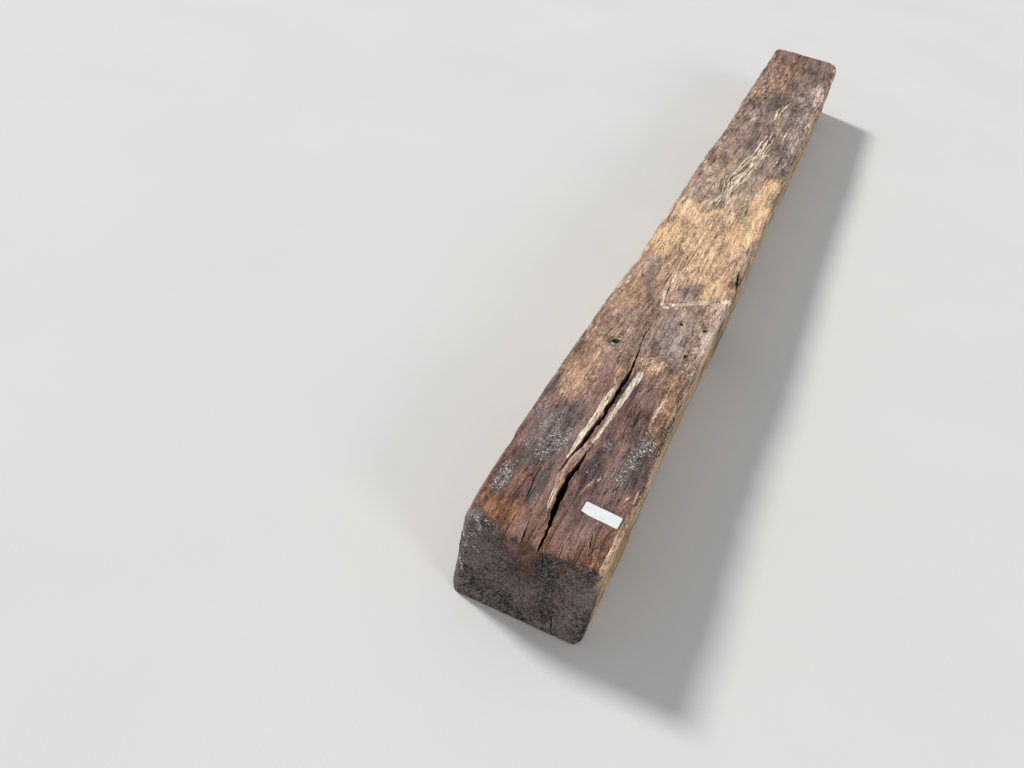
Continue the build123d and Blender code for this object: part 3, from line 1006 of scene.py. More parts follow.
def end_check(name, face, outward, start, finish, mouth, depth, seed):
    """A check in an end face, narrowing from its start to its finish."""
    (y1, z1), (y2, z2) = start, finish
    run = Vector((0, y2 - y1, z2 - z1)).normalized()
    out = Vector((outward, 0, 0))
    turn = Matrix((run, out.cross(run), out)).transposed().to_4x4()
    face_x = face(y1 * mm, (z1 + z2) / 2 * mm)
    place = Matrix.Translation((face_x, y1 * mm, z1 * mm)) @ turn
    reach = math.hypot(y2 - y1, z2 - z1)
    shares = ((0, 0.8, 1.0), (0.5, 1.0, 0.7), (1, 0.2, 0.25))
    stations = [(reach * t, 0, mouth * m, depth * d) for t, m, d in shares]
    return keel(name, stations, place, seed, 2.5, 0.8)


for end, face, outward, checks, seed in (
    ("near", near_face, -1, near_checks, 700), ("far", far_face, 1, far_checks, 730),
):
    for number, measures in enumerate(checks):
        name = f"{end}_end_check_{number}"
        cutters.append(end_check(name, face, outward, *measures, seed + 7 * number))
print("cutters", len(cutters))

# %% [markdown]
# ## Spike holes
# Each rail seat has four holes from which the spikes were drawn. Pulling a spike tears the mouth
# and bent fibres half close it, so the bore is a stack of rings whose radius changes with noise,
# and near the top one side of each ring is drawn in. That leaves a dark crescent. The first hole of
# each seat is the widest.

# %% Spike holes
# Each hole: along from the middle of its seat, across, radius and depth, in millimetres
spike_places = ((-76, 54, 11, 130), (-45, -80, 8, 118), (54, -46, 8, 124), (60, -93, 8, 112))
# Each seat: its middle, and how much less deep its holes are
spiked_seats = ((near_seat_x, 0), (far_seat_x, 3))
hole_levels = (-proud / mm, 0, 1.5, 3.5, 6, 10, 16, 26, 40, 60, 85)
hole_sides = 28


def bore(name, x, across, radius, depth, seed, shut):
    """A closed, ragged cylinder that cuts one spike hole."""
    angle = np.arange(hole_sides) * 2 * math.pi / hole_sides
    rings = []
    for level in (*hole_levels, depth):
        ring = np.stack([np.cos(angle), np.sin(angle), np.full(hole_sides, level / 14)], axis=1)
        closed = shut * math.exp(-max(level, 0) / 7) * (0.84 + 0.16 * np.cos(angle - 0.6))
        size = radius * (1 - closed) * (0.7 + 0.6 * noise(ring, (0.6, 0.6, 0.6), seed))
        round_x, round_y = x + np.cos(angle) * size, across + np.sin(angle) * size * 0.94
        rings.append(np.stack([round_x, round_y, np.full(hole_sides, -level)], axis=1))
    return tube(name, np.stack(rings), on_top)


spike_marks = []
# Patches of crust: one beyond the torn hole, then one round each hole
spike_crusts = [(582, 56, 14, 7, 0.5)]
for seat, (middle, rise) in enumerate(spiked_seats):
    for number, (along, across, radius, depth) in enumerate(spike_places):
        x = (middle - near_x) / mm + along
        reach = depth + seat_depth / mm - rise
        shut = 0.5 if seat == number == 0 else 0.95
        seed = 800 + 10 * seat + number
        cutters.append(bore(f"bore_{seat}_{number}", x, across, radius, reach, seed, shut))
        spike_marks.append((x, across, radius))
        spike_crusts.append((x + 3, across, radius * 1.5, radius, 0.8))
print("spike holes", len(spike_marks))

# %% [markdown]
# ## Cutting
# Cutters that don't touch each other can be joined into one mesh and cut together, which is much
# faster than one boolean each. The two splits come close to each other, so they go into different
# groups. The Manifold solver is the quickest of Blender's three and suits closed meshes like
# these. Afterwards a Decimate modifier takes points away where the timber is flat, mostly on the
# underside, and keeps them where there is relief. Chips that the cutters left hanging free, and
# single triangles that stick out of a closed skin, are taken away, so that no stray faces stay.

# %% Joining, baking and cleaning


def join(objects, name):
    """One object from several, by joining their meshes."""
    shape = bmesh.new()
    for item in objects:
        shape.from_mesh(item.data)
        bpy.data.objects.remove(item)
    mesh = bpy.data.meshes.new(name)
    shape.to_mesh(mesh)
    shape.free()
    return add_object(name, mesh)


def bake_modifiers(item):
    """Replaces an object's mesh by its evaluated one, and removes its modifiers."""
    bpy.context.view_layer.update()
    graph = bpy.context.evaluated_depsgraph_get()
    mesh = bpy.data.meshes.new_from_object(item.evaluated_get(graph))
    item.modifiers.clear()
    item.data = mesh


def clean(mesh):
    """Keeps only the largest connected part, without triangles that hang on by one edge."""
    shape = bmesh.new()
    shape.from_mesh(mesh)
    parts = []
    unseen = dict.fromkeys(shape.verts)
    while unseen:
        waiting = [next(iter(unseen))]
        del unseen[waiting[0]]
        part = []
        while waiting:
            corner = waiting.pop()
            part.append(corner)
            for edge in corner.link_edges:
                other = edge.other_vert(corner)
                if other in unseen:
                    del unseen[other]
                    waiting.append(other)
        parts.append(part)
    parts.sort(key=len)
    for part in parts[:-1]:
        bmesh.ops.delete(shape, geom=part, context="VERTS")
    flaps = [face for face in shape.faces if any(edge.is_boundary for edge in face.edges)]
    bmesh.ops.delete(shape, geom=flaps, context="FACES")
    shape.to_mesh(mesh)
    shape.free()
    print(mesh.name, "lost", len(parts) - 1, "loose chips and", len(flaps), "flaps")


print("cutters to join", len(cutters))

# %% Booleans and decimation
for number, group in enumerate((cutters[0::2], cutters[1::2])):
    tool = join(group, f"cutter_group_{number}")
    cut = timber.modifiers.new("cut", "BOOLEAN")
    cut.operation = "DIFFERENCE"
    cut.solver = "MANIFOLD"
    cut.object = tool
    bake_modifiers(timber)
    bpy.data.objects.remove(tool)
print("after cutting", len(timber.data.polygons), "faces")
clean(timber.data)
triangle_budget = 188000
triangles = sum(len(face.vertices) - 2 for face in timber.data.polygons)
if triangles > triangle_budget:
    thin = timber.modifiers.new("thin", "DECIMATE")
    thin.ratio = triangle_budget / triangles
    thin.use_collapse_triangulate = True
    bake_modifiers(timber)
clean(timber.data)
timber.data.name = "timber_piece"
timber.data.shade_smooth()
timber.data.set_sharp_from_angle(angle=math.radians(52))
print("timber has", len(timber.data.vertices), "points and", len(timber.data.polygons), "triangles")

# %% [markdown]
# ## Masks for the material
# A material can't know where the rail stood. The masks from the paths and patches are stored on
# the mesh as named attributes, one number per point, and so are the grain coordinates. The
# material sharpens their edges with its own streaks, so the mesh may be coarser than the pattern.
# One more mask says how deep a point lies inside the timber: the material paints shade there, with some
# dirt.

# %% Attributes
points = read_vectors(timber.data.vertices, "co").astype(float)
normals = read_vectors(timber.data.vertex_normals, "vector")
grain = grain_coordinates(points)
x, y, z = points.T
below_top = height - at_station(top_inset, x) - seat_depth * seat_share(x, y) - z
from_near_end = x - near_face(y, z)
inside = np.minimum(inside_long_faces(x, y), np.minimum(below_top, z))
inside = np.minimum(inside, np.minimum(from_near_end, far_face(y, z) - x))
upper = ease(z, height - 0.028, height - 0.012)
print("the deepest point lies", round(inside.max() / mm), "mm inside")

# %% Masks of the top face
lips = near_paths(points, lip_paths, 2.0, 3.0)
lips = np.maximum(lips, 0.7 * near_paths(points, seat_guides, 3, 3.0, half_width=3))
lips = np.maximum(lips, in_patch(points, pale_patches))
ridges = near_paths(points, fibre_ridges, 1.6, 3.0, half_width=1.9)
ridges = np.maximum(ridges, 0.5 * near_paths(points, faint_ridges, 2.0, 4.0, half_width=1.8))
stains_and_shade = 0.5 * near_paths(points, brown_paths, 7, 10.0)
for along, across, radius in spike_marks:
    away = np.hypot(x - near_x - along * mm, y - across * mm)
    stains_and_shade = np.maximum(stains_and_shade, 0.5 * (1 - ease(away, radius * 0.6 * mm, (radius * 1.5 + 2) * mm)))
cleft = ((306, -112, 3), (420, -111, 4), (590, -114, 3))
stains_and_shade = np.maximum(stains_and_shade, 0.9 * near_path(points, cleft, 3) * noise(grain, (0.03, 0.004, 0.004), 62))
# The dark lines along the seat's step and just beyond its far edge are painted shade; the brown paths and
# the rings round the spike holes are stains
seat_shade = ((738, 4, 0.8), (772, -36, 1.2), (804, -74, 1), (836, -112, 1.4))
stains_and_shade = np.maximum(stains_and_shade, 0.7 * near_path(points, [(x, y, 0.6) for x, y, _ in seat_step], 1.6))
stains_and_shade = np.maximum(stains_and_shade, 0.7 * near_path(points, seat_shade, 1.6, 2.0))
masks = {
    "cream": near_paths(points, cream_paths, 1.0, 2.5),
    "lips": lips,
    "golden": in_patch(points, golden_patches),
    "straw": in_patch(points, straw_patches),
    "blush": np.maximum(in_patch(points, blush_patches), near_paths(points, blush_paths, 4, 6.0)),
    "ridges": ridges,
    "bundle": near_paths(points, bundle_paths, 5, 8.0),
    "tan": in_patch(points, tan_patches),
    "ashen": in_patch(points, ashen_patches),
    "rusty": in_patch(points, rusty_patches),
    "dusky": np.maximum(in_patch(points, dusky_patches), stains_and_shade),
}
for name in masks:
    masks[name] = masks[name] * upper
print("masks of the top face", list(masks))

# %% Masks of the other faces, and storing them all
flaky = in_patch(points, spike_crusts)
for start, finish, across, _, _ in broken_stretches[:2]:
    shelf = [(along, -width / 2 / mm + 6, across * 0.6) for along in (start, finish)]
    flaky = np.maximum(flaky, near_path(points, shelf, 4) * ease(z, height - 0.045, height - 0.02))
# The dark end grain creeps over the brow, further at the left corner and less in one tongue
tongue = 0.016 * np.exp(-(((y - 0.006) / 0.032) ** 2))
outward = from_near_end - 0.35 * np.minimum(height - z, 0.1)
outward -= 0.016 * ease(y, 0.03, 0.09) * ease(z, height - 0.03, height - 0.01)
outward += tongue + 0.028 * (noise(points, (0.03, 0.013, 0.013), 64) - 0.5)
end_lichen = ease(y, 0.05, 0.085) * ease(z, 0.1, 0.15) + 0.4 * ease(y, 0.085, 0.105) * ease(z, 0.04, 0.09)
end_lichen = np.minimum(end_lichen, 1.0) * (1 - ease(from_near_end, 0.0, 0.012))
lichen_facing = ease(normals[:, 2], 0.5, 0.8) * ease(-inside, -0.004, -0.002)
side_facing = ease(np.abs(normals[:, 1]), 0.5, 0.8) * (1 - ease(inside, 0.004, 0.01))
masks["lichen"] = in_patch(points, lichen_patches) * lichen_facing + end_lichen
# Deep places get dark paint: painted shade, with some dirt
masks["hollow"] = ease(inside, 0.006, 0.03)
# The long faces' olive-tan paint lies almost fully on the right face, which the key sun leaves in shade,
# and weakly on the lit left face: partly their own colour, partly painted light
masks["side"] = side_facing * np.where(y > 0, 0.4, 0.95)
masks["flaky"] = flaky
masks["near_end"] = 1 - ease(outward, -0.016, 0.016)
masks["far_end"] = ease(normals[:, 0], 0.45, 0.8) * ease(x - far_x + 0.06, 0, 0.02)
for name, values in masks.items():
    layer = timber.data.attributes.new(name, "FLOAT", "POINT")
    layer.data.foreach_set("value", values.astype(np.float32))
layer = timber.data.attributes.new("grain", "FLOAT_VECTOR", "POINT")
layer.data.foreach_set("vector", grain.astype(np.float32).ravel())
print("attributes", {name: round(float(values.mean()), 3) for name, values in masks.items()})

# %% [markdown]
# ## Weathered wood
# The wood is brown under a skin that the sun has greyed. Two colour ramps along the timber give
# its darker and lighter tone at each place, and streaks along the grain choose between them. The
# masks then lay golden, grey, rusty and dusky wood over it. Each mask is first torn along the
# grain: adding streaks before the smooth step breaks its soft edge into fibres. Fine cracks are
# the places where a stretched noise crosses its middle value, which gives long broken lines.

# %% Weathered wood: patterns
wood = Finish("weathered_wood")
flow = wood.attribute("grain", "Vector")
place = wood.place()
fibre = wood.noise(flow, (60, 620, 620), 3.0, 0.6)
streak = wood.noise(flow, (24, 190, 190), 5.0, 0.62)
band = wood.noise(flow, (2.6, 24, 24), 3.0)
cloud = wood.noise(place, (7, 13, 13), 4.0, 0.6)
mottle = wood.noise(place, (70, 110, 110), 4.0, 0.7)
grit = wood.noise(place, (220, 290, 290), 4.0, 0.75)
speckle = wood.noise(place, (460, 600, 600), 2.0, 0.6)
drift = wood.noise(flow, (11, 60, 60), 4.0, 0.65)
crack_line = wood.noise(flow, (6, 95, 95), 3.0, 0.5)
crack = (1 - abs(crack_line - 0.5).ease(0.003, 0.02)) * mottle.ease(0.47, 0.58)
dark_dots = 1 - (grit * 0.5 + speckle * 0.5).ease(0.37, 0.46)
fray = (streak - 0.5) * 0.8 + (mottle - 0.5) * 1.1 + (grit - 0.5) * 0.8


def torn(name, start=0.15, end=0.8):
    """One of the masks, with its soft edge broken into fibres and flecks."""
    mask = wood.attribute(name)
    return (mask + fray).ease(start, end) * mask.ease(0.0, 0.12)


print("patterns ready")

# %% Weathered wood: colours


def ramp(share, stops):
    """A colour ramp. Each stop: its share, then red, green and blue."""
    painted = [(position, paint(*colour)) for position, *colour in stops]
    return wood.node("ShaderNodeValToRGB", {"stops": painted}, {0: share})


along = wood.node("ShaderNodeSeparateXYZ", inputs={0: place})
along = (along - near_x) / length
dark_wood = ramp(along, (
    (0.00, 54, 34, 27), (0.08, 62, 43, 39), (0.17, 70, 49, 43), (0.26, 90, 68, 57), (0.36, 128, 99, 76),
    (0.50, 124, 100, 82), (0.62, 80, 63, 55), (0.80, 72, 57, 48), (0.92, 70, 51, 43), (1.00, 62, 45, 38),
))
light_wood = ramp(along, (
    (0.00, 146, 104, 82), (0.08, 158, 124, 112), (0.17, 174, 139, 123), (0.26, 202, 171, 149),
    (0.36, 224, 191, 157), (0.50, 226, 198, 171), (0.62, 190, 165, 146), (0.80, 180, 155, 137),
    (0.92, 178, 145, 125), (1.00, 150, 120, 103),
))
tone = streak * 0.35 + band * 0.3 + cloud * 0.5 + mottle * 0.25 + grit * 0.2 + fibre * 0.15 - 0.375
tone = tone.ease(0.28, 0.72)
side_tone = (streak * 0.35 + fibre * 0.15 + drift * 0.5 + cloud * 0.5 - 0.25).ease(0.3, 0.7)
ashen_tone = (tone * 0.8 + grit * 0.35 - 0.1).ease(0.1, 0.9)
warm_tone = (cloud * 0.6 + band * 0.4 + streak * 0.25 + grit * 0.3 - 0.275).ease(0.22, 0.78)
blush_tone = (tone * 0.5 + streak * 0.5).ease(0.25, 0.75)
cream_tone = (fibre * 0.6 + streak * 0.4).ease(0.36, 0.6)
flaky_tone = (grit * 0.6 + streak * 0.4).ease(0.44, 0.56)
mauve_mask = (band * 0.6 + cloud * 0.4).ease(0.46, 0.6) * 0.6
ridge_mask = (wood.attribute("ridges") + fray * 0.7).ease(0.3, 0.65) * 0.9
# Each layer, from the lowest up: where it lies, what shades it, and its dark and its light paint
layers = (
    (mauve_mask, tone, (82, 62, 58), (152, 122, 116)),
    # Side paint, strong on the shaded right face and weak on the lit left one: partly painted light
    (wood.attribute("side"), side_tone, (74, 58, 46), (220, 191, 153)),
    (torn("tan") * 0.8, tone, (118, 84, 64), (208, 170, 138)),
    (torn("ashen", 0.15, 1.0) * 0.85, ashen_tone, (84, 75, 70), (180, 166, 155)),
    (torn("golden", 0.1, 0.9) * 0.9, warm_tone, (182, 142, 108), (246, 207, 162)),
    (torn("straw", 0.2, 1.1) * 0.85, warm_tone, (210, 176, 130), (246, 220, 172)),
    (torn("rusty") * 0.85, tone, (108, 72, 52), (190, 136, 102)),
    (torn("dusky") * 0.9, tone, (52, 43, 43), (120, 107, 103)),
    (torn("blush", 0.25, 0.85) * 0.85, blush_tone, (148, 121, 105), (230, 207, 190)),
    (torn("bundle", 0.3, 0.9) * 0.75, streak.ease(0.35, 0.65), (78, 62, 52), (172, 148, 128)),
    (torn("lips", 0.3, 0.9) * 0.85, fibre.ease(0.3, 0.65), (150, 118, 96), (222, 190, 162)),
    (torn("cream", 0.35, 0.75) * 0.95, cream_tone, (180, 152, 128), (240, 228, 211)),
    (ridge_mask, streak.ease(0.3, 0.6), (176, 152, 130), (238, 222, 202)),
    (torn("flaky", 0.3, 0.8) * 0.8, flaky_tone, (66, 50, 40), (200, 176, 146)),
    (torn("lichen", 0.3, 0.9) * 0.6, grit.ease(0.4, 0.6), (68, 61, 60), (150, 143, 137)),
)
colour = wood.blend(tone, dark_wood, light_wood)
for mask, shade, dark, light in layers:
    colour = wood.blend(mask, colour, wood.blend(shade, dark, light))
print("layers of colour", len(layers))

# %% Weathered wood: specks and cracks
coarse = (mottle - 0.5) * 1.0 + (streak - 0.5) * 0.7 + (drift - 0.5) * 2.6
coarse = coarse * (1 - wood.attribute("golden").ease(0.2, 1.0) * 0.35)
level = (grit - 0.5) * 2.1 + (speckle - 0.5) * 1.8 + (fibre - 0.5) * 0.8
level = level + coarse * (along * 0.75 + 0.75) + 1.09
colour = wood.vector("SCALE", colour, level.larger(0.35))
colour = wood.blend(dark_dots * 0.5, colour, (66, 48, 40))
colour = wood.blend(crack * 0.85, colour, (40, 29, 25))
print("face colours ready")

# %% [markdown]
# ## End grain
# The ends are a different world: the saw crossed every fibre, so there are rings and rays instead
# of streaks. The near end is nearly black with weather and old oil, sprinkled with pale broken
# fibre tips. The far end is brown. Rings are circles about the heart of the log, bent a little
# with noise. The rays are noise too, read by direction from the heart and stretched outwards.

# %% End grain
heart = wood.vector("SUBTRACT", place, (0.0, 0.004, 0.1))
heart = wood.vector("MULTIPLY", heart, (0.0, 1.0, 1.0))
from_heart = wood.vector("LENGTH", heart)
ring_wave = (from_heart + mottle * 0.012) * 1500
rings = wood.node("ShaderNodeMath", {"operation": "SINE"}, {0: ring_wave}) * 0.5 + 0.5
furred = wood.noise(place, (330, 330, 330), 3.0, 0.75)
spoke = wood.vector("SCALE", wood.vector("NORMALIZE", heart), 34.0)
outwards = wood.node("ShaderNodeCombineXYZ", inputs={0: from_heart * 70 + mottle * 3, 1: 0.0, 2: 0.0})
spoke = wood.vector("ADD", spoke, outwards)
hairs = wood.noise(spoke, (1, 1, 1), 3.0, 0.65)
clouds = wood.noise(place, (16, 16, 16), 3.0)
char = (furred * 1.4 + hairs * 0.7 + clouds * 0.9 + grit * 1.1 + mottle * 0.9 - 2.0).ease(0.22, 0.78)
char = wood.blend(char, (32, 27, 28), (132, 119, 115))
flecks = furred.ease(0.62, 0.74) * 0.75 + hairs.ease(0.58, 0.7) * 0.5
char = wood.blend(flecks, char, (184, 173, 162))
sawn = wood.blend((rings * 0.3 + furred * 0.7).ease(0.2, 0.8), (74, 58, 48), (146, 122, 100))
near_end = wood.attribute("near_end") + (mottle - 0.5) * 1.4 + (cloud - 0.5) * 1.2 + (grit - 0.5) * 1.0
near_end = near_end.ease(0.25, 0.75)
colour = wood.blend(near_end, colour, char)
colour = wood.blend(wood.attribute("far_end"), colour, sawn)
# Painted shade, with some dirt, in the splits, checks and holes
colour = wood.blend(wood.attribute("hollow") * 0.85, colour, (40, 29, 24))
bumps = streak * 0.8 + mottle * 0.7 + fibre * 0.4 + grit * 0.7 + speckle * 0.4 - crack * 1.0
bumps = bumps + (furred + hairs) * near_end * 0.7
roughness = 0.92 - near_end * 0.14 - tone * 0.06
timber.data.materials.clear()
timber.data.materials.append(wood.close(colour, roughness, bumps, 0.0022, 0.25))
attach(timber, "root")
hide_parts("sleeper")

# %% [markdown]
# ## The blank label
# A small white sticker lies across the timber near the end. It could be a thin box, but a sticker
# bends over the grooves that it covers. So it is a fine grid whose points are dropped onto the
# wood by rays, smoothed as stiff paper would be, and lifted by half a millimetre. Its corners are
# rounded and one of them has begun to curl. No text is put on it.

# %% Label
label_along, label_across = 120, -73
label_length, label_width, label_corner = 62.0, 25.0, 2.5
label_turn = math.radians(-4)
paper = 0.25 * mm
lift, curl_lift, sag = 0.5, 2.2, 0.1 * mm
ground = BVHTree.FromObject(timber, bpy.context.evaluated_depsgraph_get())


def drop(x, y):
    """Height of the timber's top at a place, in metres, or a low level over a deep gap."""
    hit = ground.ray_cast(Vector((x, y, height + 0.05)), Vector((0, 0, -1)))[0]
    return hit.z if hit is not None and hit.z > height - 0.012 else height - 2 * mm


rows, columns = 43, 19
u = np.linspace(-0.5, 0.5, rows) * label_length
v = np.linspace(-0.5, 0.5, columns) * label_width
u, v = np.meshgrid(u, v, indexing="ij")
for u_side, v_side in ((-1, -1), (-1, 1), (1, -1), (1, 1)):
    corner = (u_side * label_length / 2, v_side * label_width / 2)
    u, v = round_corner(u, v, *corner, u_side, v_side, label_corner)
label_x = near_x + (label_along + v * math.cos(label_turn) - u * math.sin(label_turn)) * mm
label_y = (label_across + u * math.cos(label_turn) + v * math.sin(label_turn)) * mm
wood_height = np.vectorize(drop)(label_x, label_y)
label_height = wood_height
for _ in range(30):
    padded = np.pad(label_height, 1, mode="edge")
    middle = (padded[:-2, 1:-1] + padded[2:, 1:-1] + padded[1:-1, :-2] + padded[1:-1, 2:]) / 4
    label_height = np.maximum(middle, wood_height - sag)
curl = np.linspace(-1, 1, rows)[:, None] - np.linspace(-1, 1, columns)[None, :]
label_height = label_height + (lift + curl_lift * ease(curl, 1.55, 2.0)) * mm
print("the wood under the label rises by", round(np.ptp(wood_height) / mm, 2), "mm")

# %% Label: its skin and finish
label_address, label_quads = box_lattice(rows, columns, 2)
row, column, side = label_address.T
label_z = label_height[row, column] - paper * (1 - side)
label_points = np.stack([label_x[row, column], label_y[row, column], label_z], axis=1)
label = closed_object("blank_label", label_points, label_quads.tolist())
label.data.shade_smooth()
label.data.set_sharp_from_angle(angle=math.radians(40))
sticker = Finish("label_white")
sticker_place = sticker.place()
sticker_dirt = sticker.noise(sticker_place, (140, 90, 90), 5.0, 0.65)
sticker_tooth = sticker.noise(sticker_place, (900, 900, 900), 2.0)
sticker_colour = sticker.blend(sticker_dirt.ease(0.5, 0.72) * 0.55, (221, 222, 221), (188, 182, 174))
label.data.materials.append(sticker.close(sticker_colour, 0.6, sticker_tooth + sticker_dirt, 0.0001, 0.25))
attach(label, "root")
print("label has", len(label.data.polygons), "faces")

# %% [markdown]
# ## Geometry Nodes for what repeats
# Splinters and lichen are many small things in one place. Geometry Nodes suit them: one tree
# follows guide lines, the other scatters over a mask, and both have named inputs that can be tried
# out by hand. A tree is one more bench. Its inputs are set before the host object is first
# evaluated, and at the end the result becomes a plain mesh.

# %% Bench for geometry trees


class Growth(Bench):
    """A geometry node tree with named inputs."""

    def __init__(self, name):
        super().__init__(bpy.data.node_groups.new(name, "GeometryNodeTree"))
        self.tree.interface.new_socket("Geometry", in_out="OUTPUT", socket_type="NodeSocketGeometry")
        self.entry = self.tree.nodes.new("NodeGroupInput")
        self.keys = {}

    def input(self, name, kind):
        """A named input of the whole tree."""
        socket = self.tree.interface.new_socket(name, in_out="INPUT", socket_type="NodeSocket" + kind)
        self.keys[name] = socket.identifier
        return Wire(self, self.entry.outputs[name])

    def shape_of(self, name):
        """The geometry of an object, which becomes a named input."""
        settings = {"transform_space": "RELATIVE"}
        inputs = {"Object": self.input(name, "Object")}
        return self.node("GeometryNodeObjectInfo", settings, inputs, output="Geometry")

    def finish(self, geometry, material):
        """Ends the tree: real geometry with a material."""
        whole = self.node("GeometryNodeRealizeInstances", inputs={0: geometry})
        whole = self.node("GeometryNodeSetMaterial", inputs={0: whole, "Material": material})
        self.node("NodeGroupOutput", inputs={0: whole})

    def grow(self, host, values):
        """Runs the tree on a host object and leaves its result as a plain mesh."""
        modifier = host.modifiers.new("growth", "NODES")
        modifier.node_group = self.tree
        for name, value in values.items():
            modifier[self.keys[name]] = value
        bake_modifiers(host)
        host.data.shade_smooth()
        print(host.name, "has", len(host.data.polygons), "faces")
        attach(host, "root")


print("bench for geometry trees ready")

# %% [markdown]
# ## Torn fibres
# Where wood has been torn, long pale fibres stay behind, lying nearly along the grain and crossing
# each other at small angles. Each guide line below stands for a bundle. The tree copies every
# guide a number of times, trims each copy at its own start and end, pushes it sideways and waves
# it a little. A ray then drops each point onto the timber, points over a deep gap are deleted, and a
# thin profile that tapers to both ends turns the line into a splinter.

# %% Torn fibres


def guide_lines(name, guides):
    """A host object whose edges are the guide lines, a little above the timber."""
    stops, edges = [], []
    for guide in guides:
        edges += [(len(stops) + k, len(stops) + k + 1) for k in range(len(guide) - 1)]
        stops += [(near_x + along * mm, across * mm, height + 5 * mm) for along, across in guide]
    mesh = bpy.data.meshes.new(name)
    mesh.from_pydata(stops, edges, [])
    return add_object(name, mesh)


strands = Growth("torn_fibres")
strand_guides = strands.input("Guides", "Geometry")
strand_ground = strands.shape_of("Timber")
strand_copies = strands.input("Copies", "Int")
strand_spread = strands.input("Spread", "Float")
strand_thickness = strands.input("Thickness", "Float")
strand_seed = strands.input("Seed", "Int")
strand_sideways = strands.input("Sideways", "Vector")
lines = strands.node("GeometryNodeMeshToCurve", inputs={0: strand_guides})
lines = strands.node("GeometryNodeResampleCurve", {"mode": "LENGTH"}, {"Curve": lines, "Length": 5 * mm})
copied = {"Geometry": lines, "Amount": strand_copies}
lines = strands.node("GeometryNodeDuplicateElements", {"domain": "SPLINE"}, copied)
index = strands.node("GeometryNodeInputIndex")


def lottery(low, high, salt):
    """A number that each strand draws for itself."""
    draw = {2: low, 3: high, "ID": index, "Seed": strand_seed + salt}
    drawn = strands.node("FunctionNodeRandomValue", {"data_type": "FLOAT"}, draw, output=1)
    return strands.node("GeometryNodeFieldOnDomain", {"domain": "CURVE", "data_type": "FLOAT"}, {0: drawn})


trim = {"Curve": lines, 2: lottery(0.0, 0.7, 1), 3: lottery(0.3, 1.0, 2)}
lines = strands.node("GeometryNodeTrimCurve", {"mode": "FACTOR"}, trim)
print("strand tree so far has", len(strands.tree.nodes), "nodes")

# %% Torn fibres: waves, a way down and a profile
where = strands.node("GeometryNodeInputPosition")
own_start = {0: lottery(0.0, 9.0, 3), 1: lottery(0.0, 9.0, 4), 2: 0.0}
wave_place = strands.vector("ADD", where, strands.node("ShaderNodeCombineXYZ", inputs=own_start))
wave = strands.node("ShaderNodeTexNoise", inputs={"Vector": wave_place, "Scale": 24.0, "Detail": 1.0})
side_shift = (lottery(-1.0, 1.0, 5) + (wave - 0.5) * 2.2) * strand_spread
shift = strands.vector("SCALE", strand_sideways, side_shift)
lines = strands.node("GeometryNodeSetPosition", inputs={"Geometry": lines, "Offset": shift})
ray = {"Target Geometry": strand_ground, "Ray Direction": (0, 0, -1), "Ray Length": 16 * mm}
struck = strands.node("GeometryNodeRaycast", inputs=ray, output="Hit Position")
over_wood = strands.node("GeometryNodeRaycast", inputs=ray, output="Is Hit")
missed = strands.node("FunctionNodeBooleanMath", {"operation": "NOT"}, {0: over_wood})
lines = strands.node("GeometryNodeDeleteGeometry", {"domain": "POINT"}, {0: lines, "Selection": missed})
landed = {"Geometry": lines, "Position": struck, "Offset": (0, 0, 0.1 * mm)}
lines = strands.node("GeometryNodeSetPosition", inputs=landed)
factor = strands.node("GeometryNodeSplineParameter", output="Factor")
taper = (factor * (1 - factor) * 4) ** 0.6
strand_size = taper * strand_thickness * lottery(0.4, 1.0, 6)
profile = strands.node("GeometryNodeCurvePrimitiveCircle", inputs={"Resolution": 4, "Radius": 1.0})
swept = {"Curve": lines, "Profile Curve": profile, "Scale": strand_size, "Fill Caps": True}
strand_mesh = strands.node("GeometryNodeCurveToMesh", inputs=swept)
merged = {"Geometry": strand_mesh, "Distance": 0.01 * mm}
strand_mesh = strands.node("GeometryNodeMergeByDistance", inputs=merged)
raw_wood = Finish("raw_fibre")
raw_place = raw_wood.place()
raw_streak = raw_wood.noise(raw_place, (60, 500, 500), 3.0)
raw_patch = raw_wood.noise(raw_place, (26, 40, 40), 2.0)
raw_tone = (raw_streak * 0.5 + raw_patch * 0.5).ease(0.38, 0.62)
raw_colour = raw_wood.blend(raw_tone, (176, 150, 128), (240, 224, 204))
strands.finish(strand_mesh, raw_wood.close(raw_colour, 0.85, raw_streak, 0.0003))
# Each bundle: guide lines, copies, spread and thickness in millimetres, seed, and way sideways
bundles = {
    "far_fibres": (fibre_ridges, 4, 4, 2.6, 4, (0.3, 1.0, 0.0)),
    "seat_fibres": (seat_guides, 12, 5, 1.9, 8, (1.0, 0.3, 0.0)),
    "near_fibres": (near_guides, 8, 4, 1.0, 15, (0.0, 1.0, 0.0)),
}
for name, (guides, copies, spread, thickness, seed, sideways) in bundles.items():
    values = {"Timber": timber, "Copies": copies, "Spread": spread * mm, "Thickness": thickness * mm}
    strands.grow(guide_lines(name, guides), {**values, "Seed": seed, "Sideways": sideways})

# %% [markdown]
# ## Lichen flecks
# Dry lichen shows as sparkling white crumbs on the greyed wood near the end. Each crumb is a tiny
# closed lump. The tree scatters points over the timber, more where the lichen mask is strong, and
# puts a crumb with its own turn and size on each.

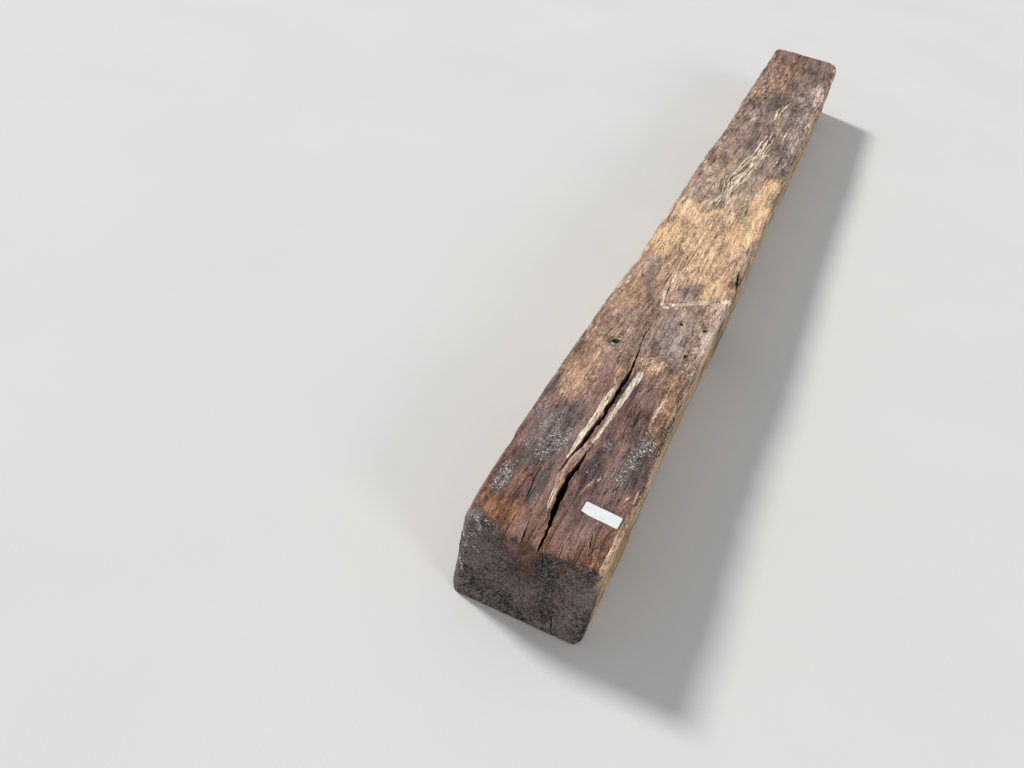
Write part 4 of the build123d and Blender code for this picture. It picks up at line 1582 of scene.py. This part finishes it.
# %% Lichen
crumb_points = [(0, 0, 0.7)]
for turn, size in enumerate((1.0, 0.7, 0.9, 0.6, 1.0, 0.75)):
    angle = turn * math.pi / 3
    crumb_points.append((size * math.cos(angle), size * math.sin(angle), 0.1))
crumb_points.append((0, 0, -0.5))
crumb_faces = [(0, 1 + k, 1 + (k + 1) % 6) for k in range(6)]
crumb_faces += [(7, 1 + (k + 1) % 6, 1 + k) for k in range(6)]
crumb = closed_object("crumb", np.array(crumb_points) * mm, crumb_faces)
lichen = add_object("lichen_flecks", bpy.data.meshes.new("lichen_flecks"))

moss = Growth("lichen_flecks")
moss_ground = moss.shape_of("Timber")
moss_crumb = moss.shape_of("Crumb")
moss_density = moss.input("Density", "Float")
moss_seed = moss.input("Seed", "Int")
lichen_mask = moss.node("GeometryNodeInputNamedAttribute", {"data_type": "FLOAT"}, {"Name": "lichen"})
clump = {"Vector": moss.node("GeometryNodeInputPosition"), "Scale": 75.0, "Detail": 4.0}
clump = moss.node("ShaderNodeTexNoise", inputs=clump).ease(0.5, 0.62)
scatter = {"Mesh": moss_ground, "Density": lichen_mask * clump * moss_density, "Seed": moss_seed}
crumb_spots = moss.node("GeometryNodeDistributePointsOnFaces", inputs=scatter)


def crumb_draw(low, high, salt):
    """A vector that each crumb draws for itself."""
    inputs = {0: low, 1: high, "Seed": moss_seed + salt}
    return moss.node("FunctionNodeRandomValue", {"data_type": "FLOAT_VECTOR"}, inputs)


crumb_scale = crumb_draw((0.7, 0.4, 0.4), (3.0, 1.5, 1.4), 1)
crumb_angle = crumb_draw((-0.3, -0.3, 0.0), (0.3, 0.3, 6.28), 2)
crumb_angle = moss.node("FunctionNodeEulerToRotation", inputs={0: crumb_angle})
placed = {"Points": crumb_spots, "Instance": moss_crumb, "Rotation": crumb_angle, "Scale": crumb_scale}
crumbs = moss.node("GeometryNodeInstanceOnPoints", inputs=placed)
pale_crust = Finish("lichen_crust")
crust_patch = pale_crust.noise(pale_crust.place(), (300, 300, 300), 3.0)
crust_colour = pale_crust.blend(crust_patch.ease(0.4, 0.6), (168, 166, 158), (236, 234, 226))
moss.finish(crumbs, pale_crust.close(crust_colour, 0.8, crust_patch, 0.0003))
moss.grow(lichen, {"Timber": timber, "Crumb": crumb, "Density": 210000.0, "Seed": 12})
bpy.data.objects.remove(crumb)
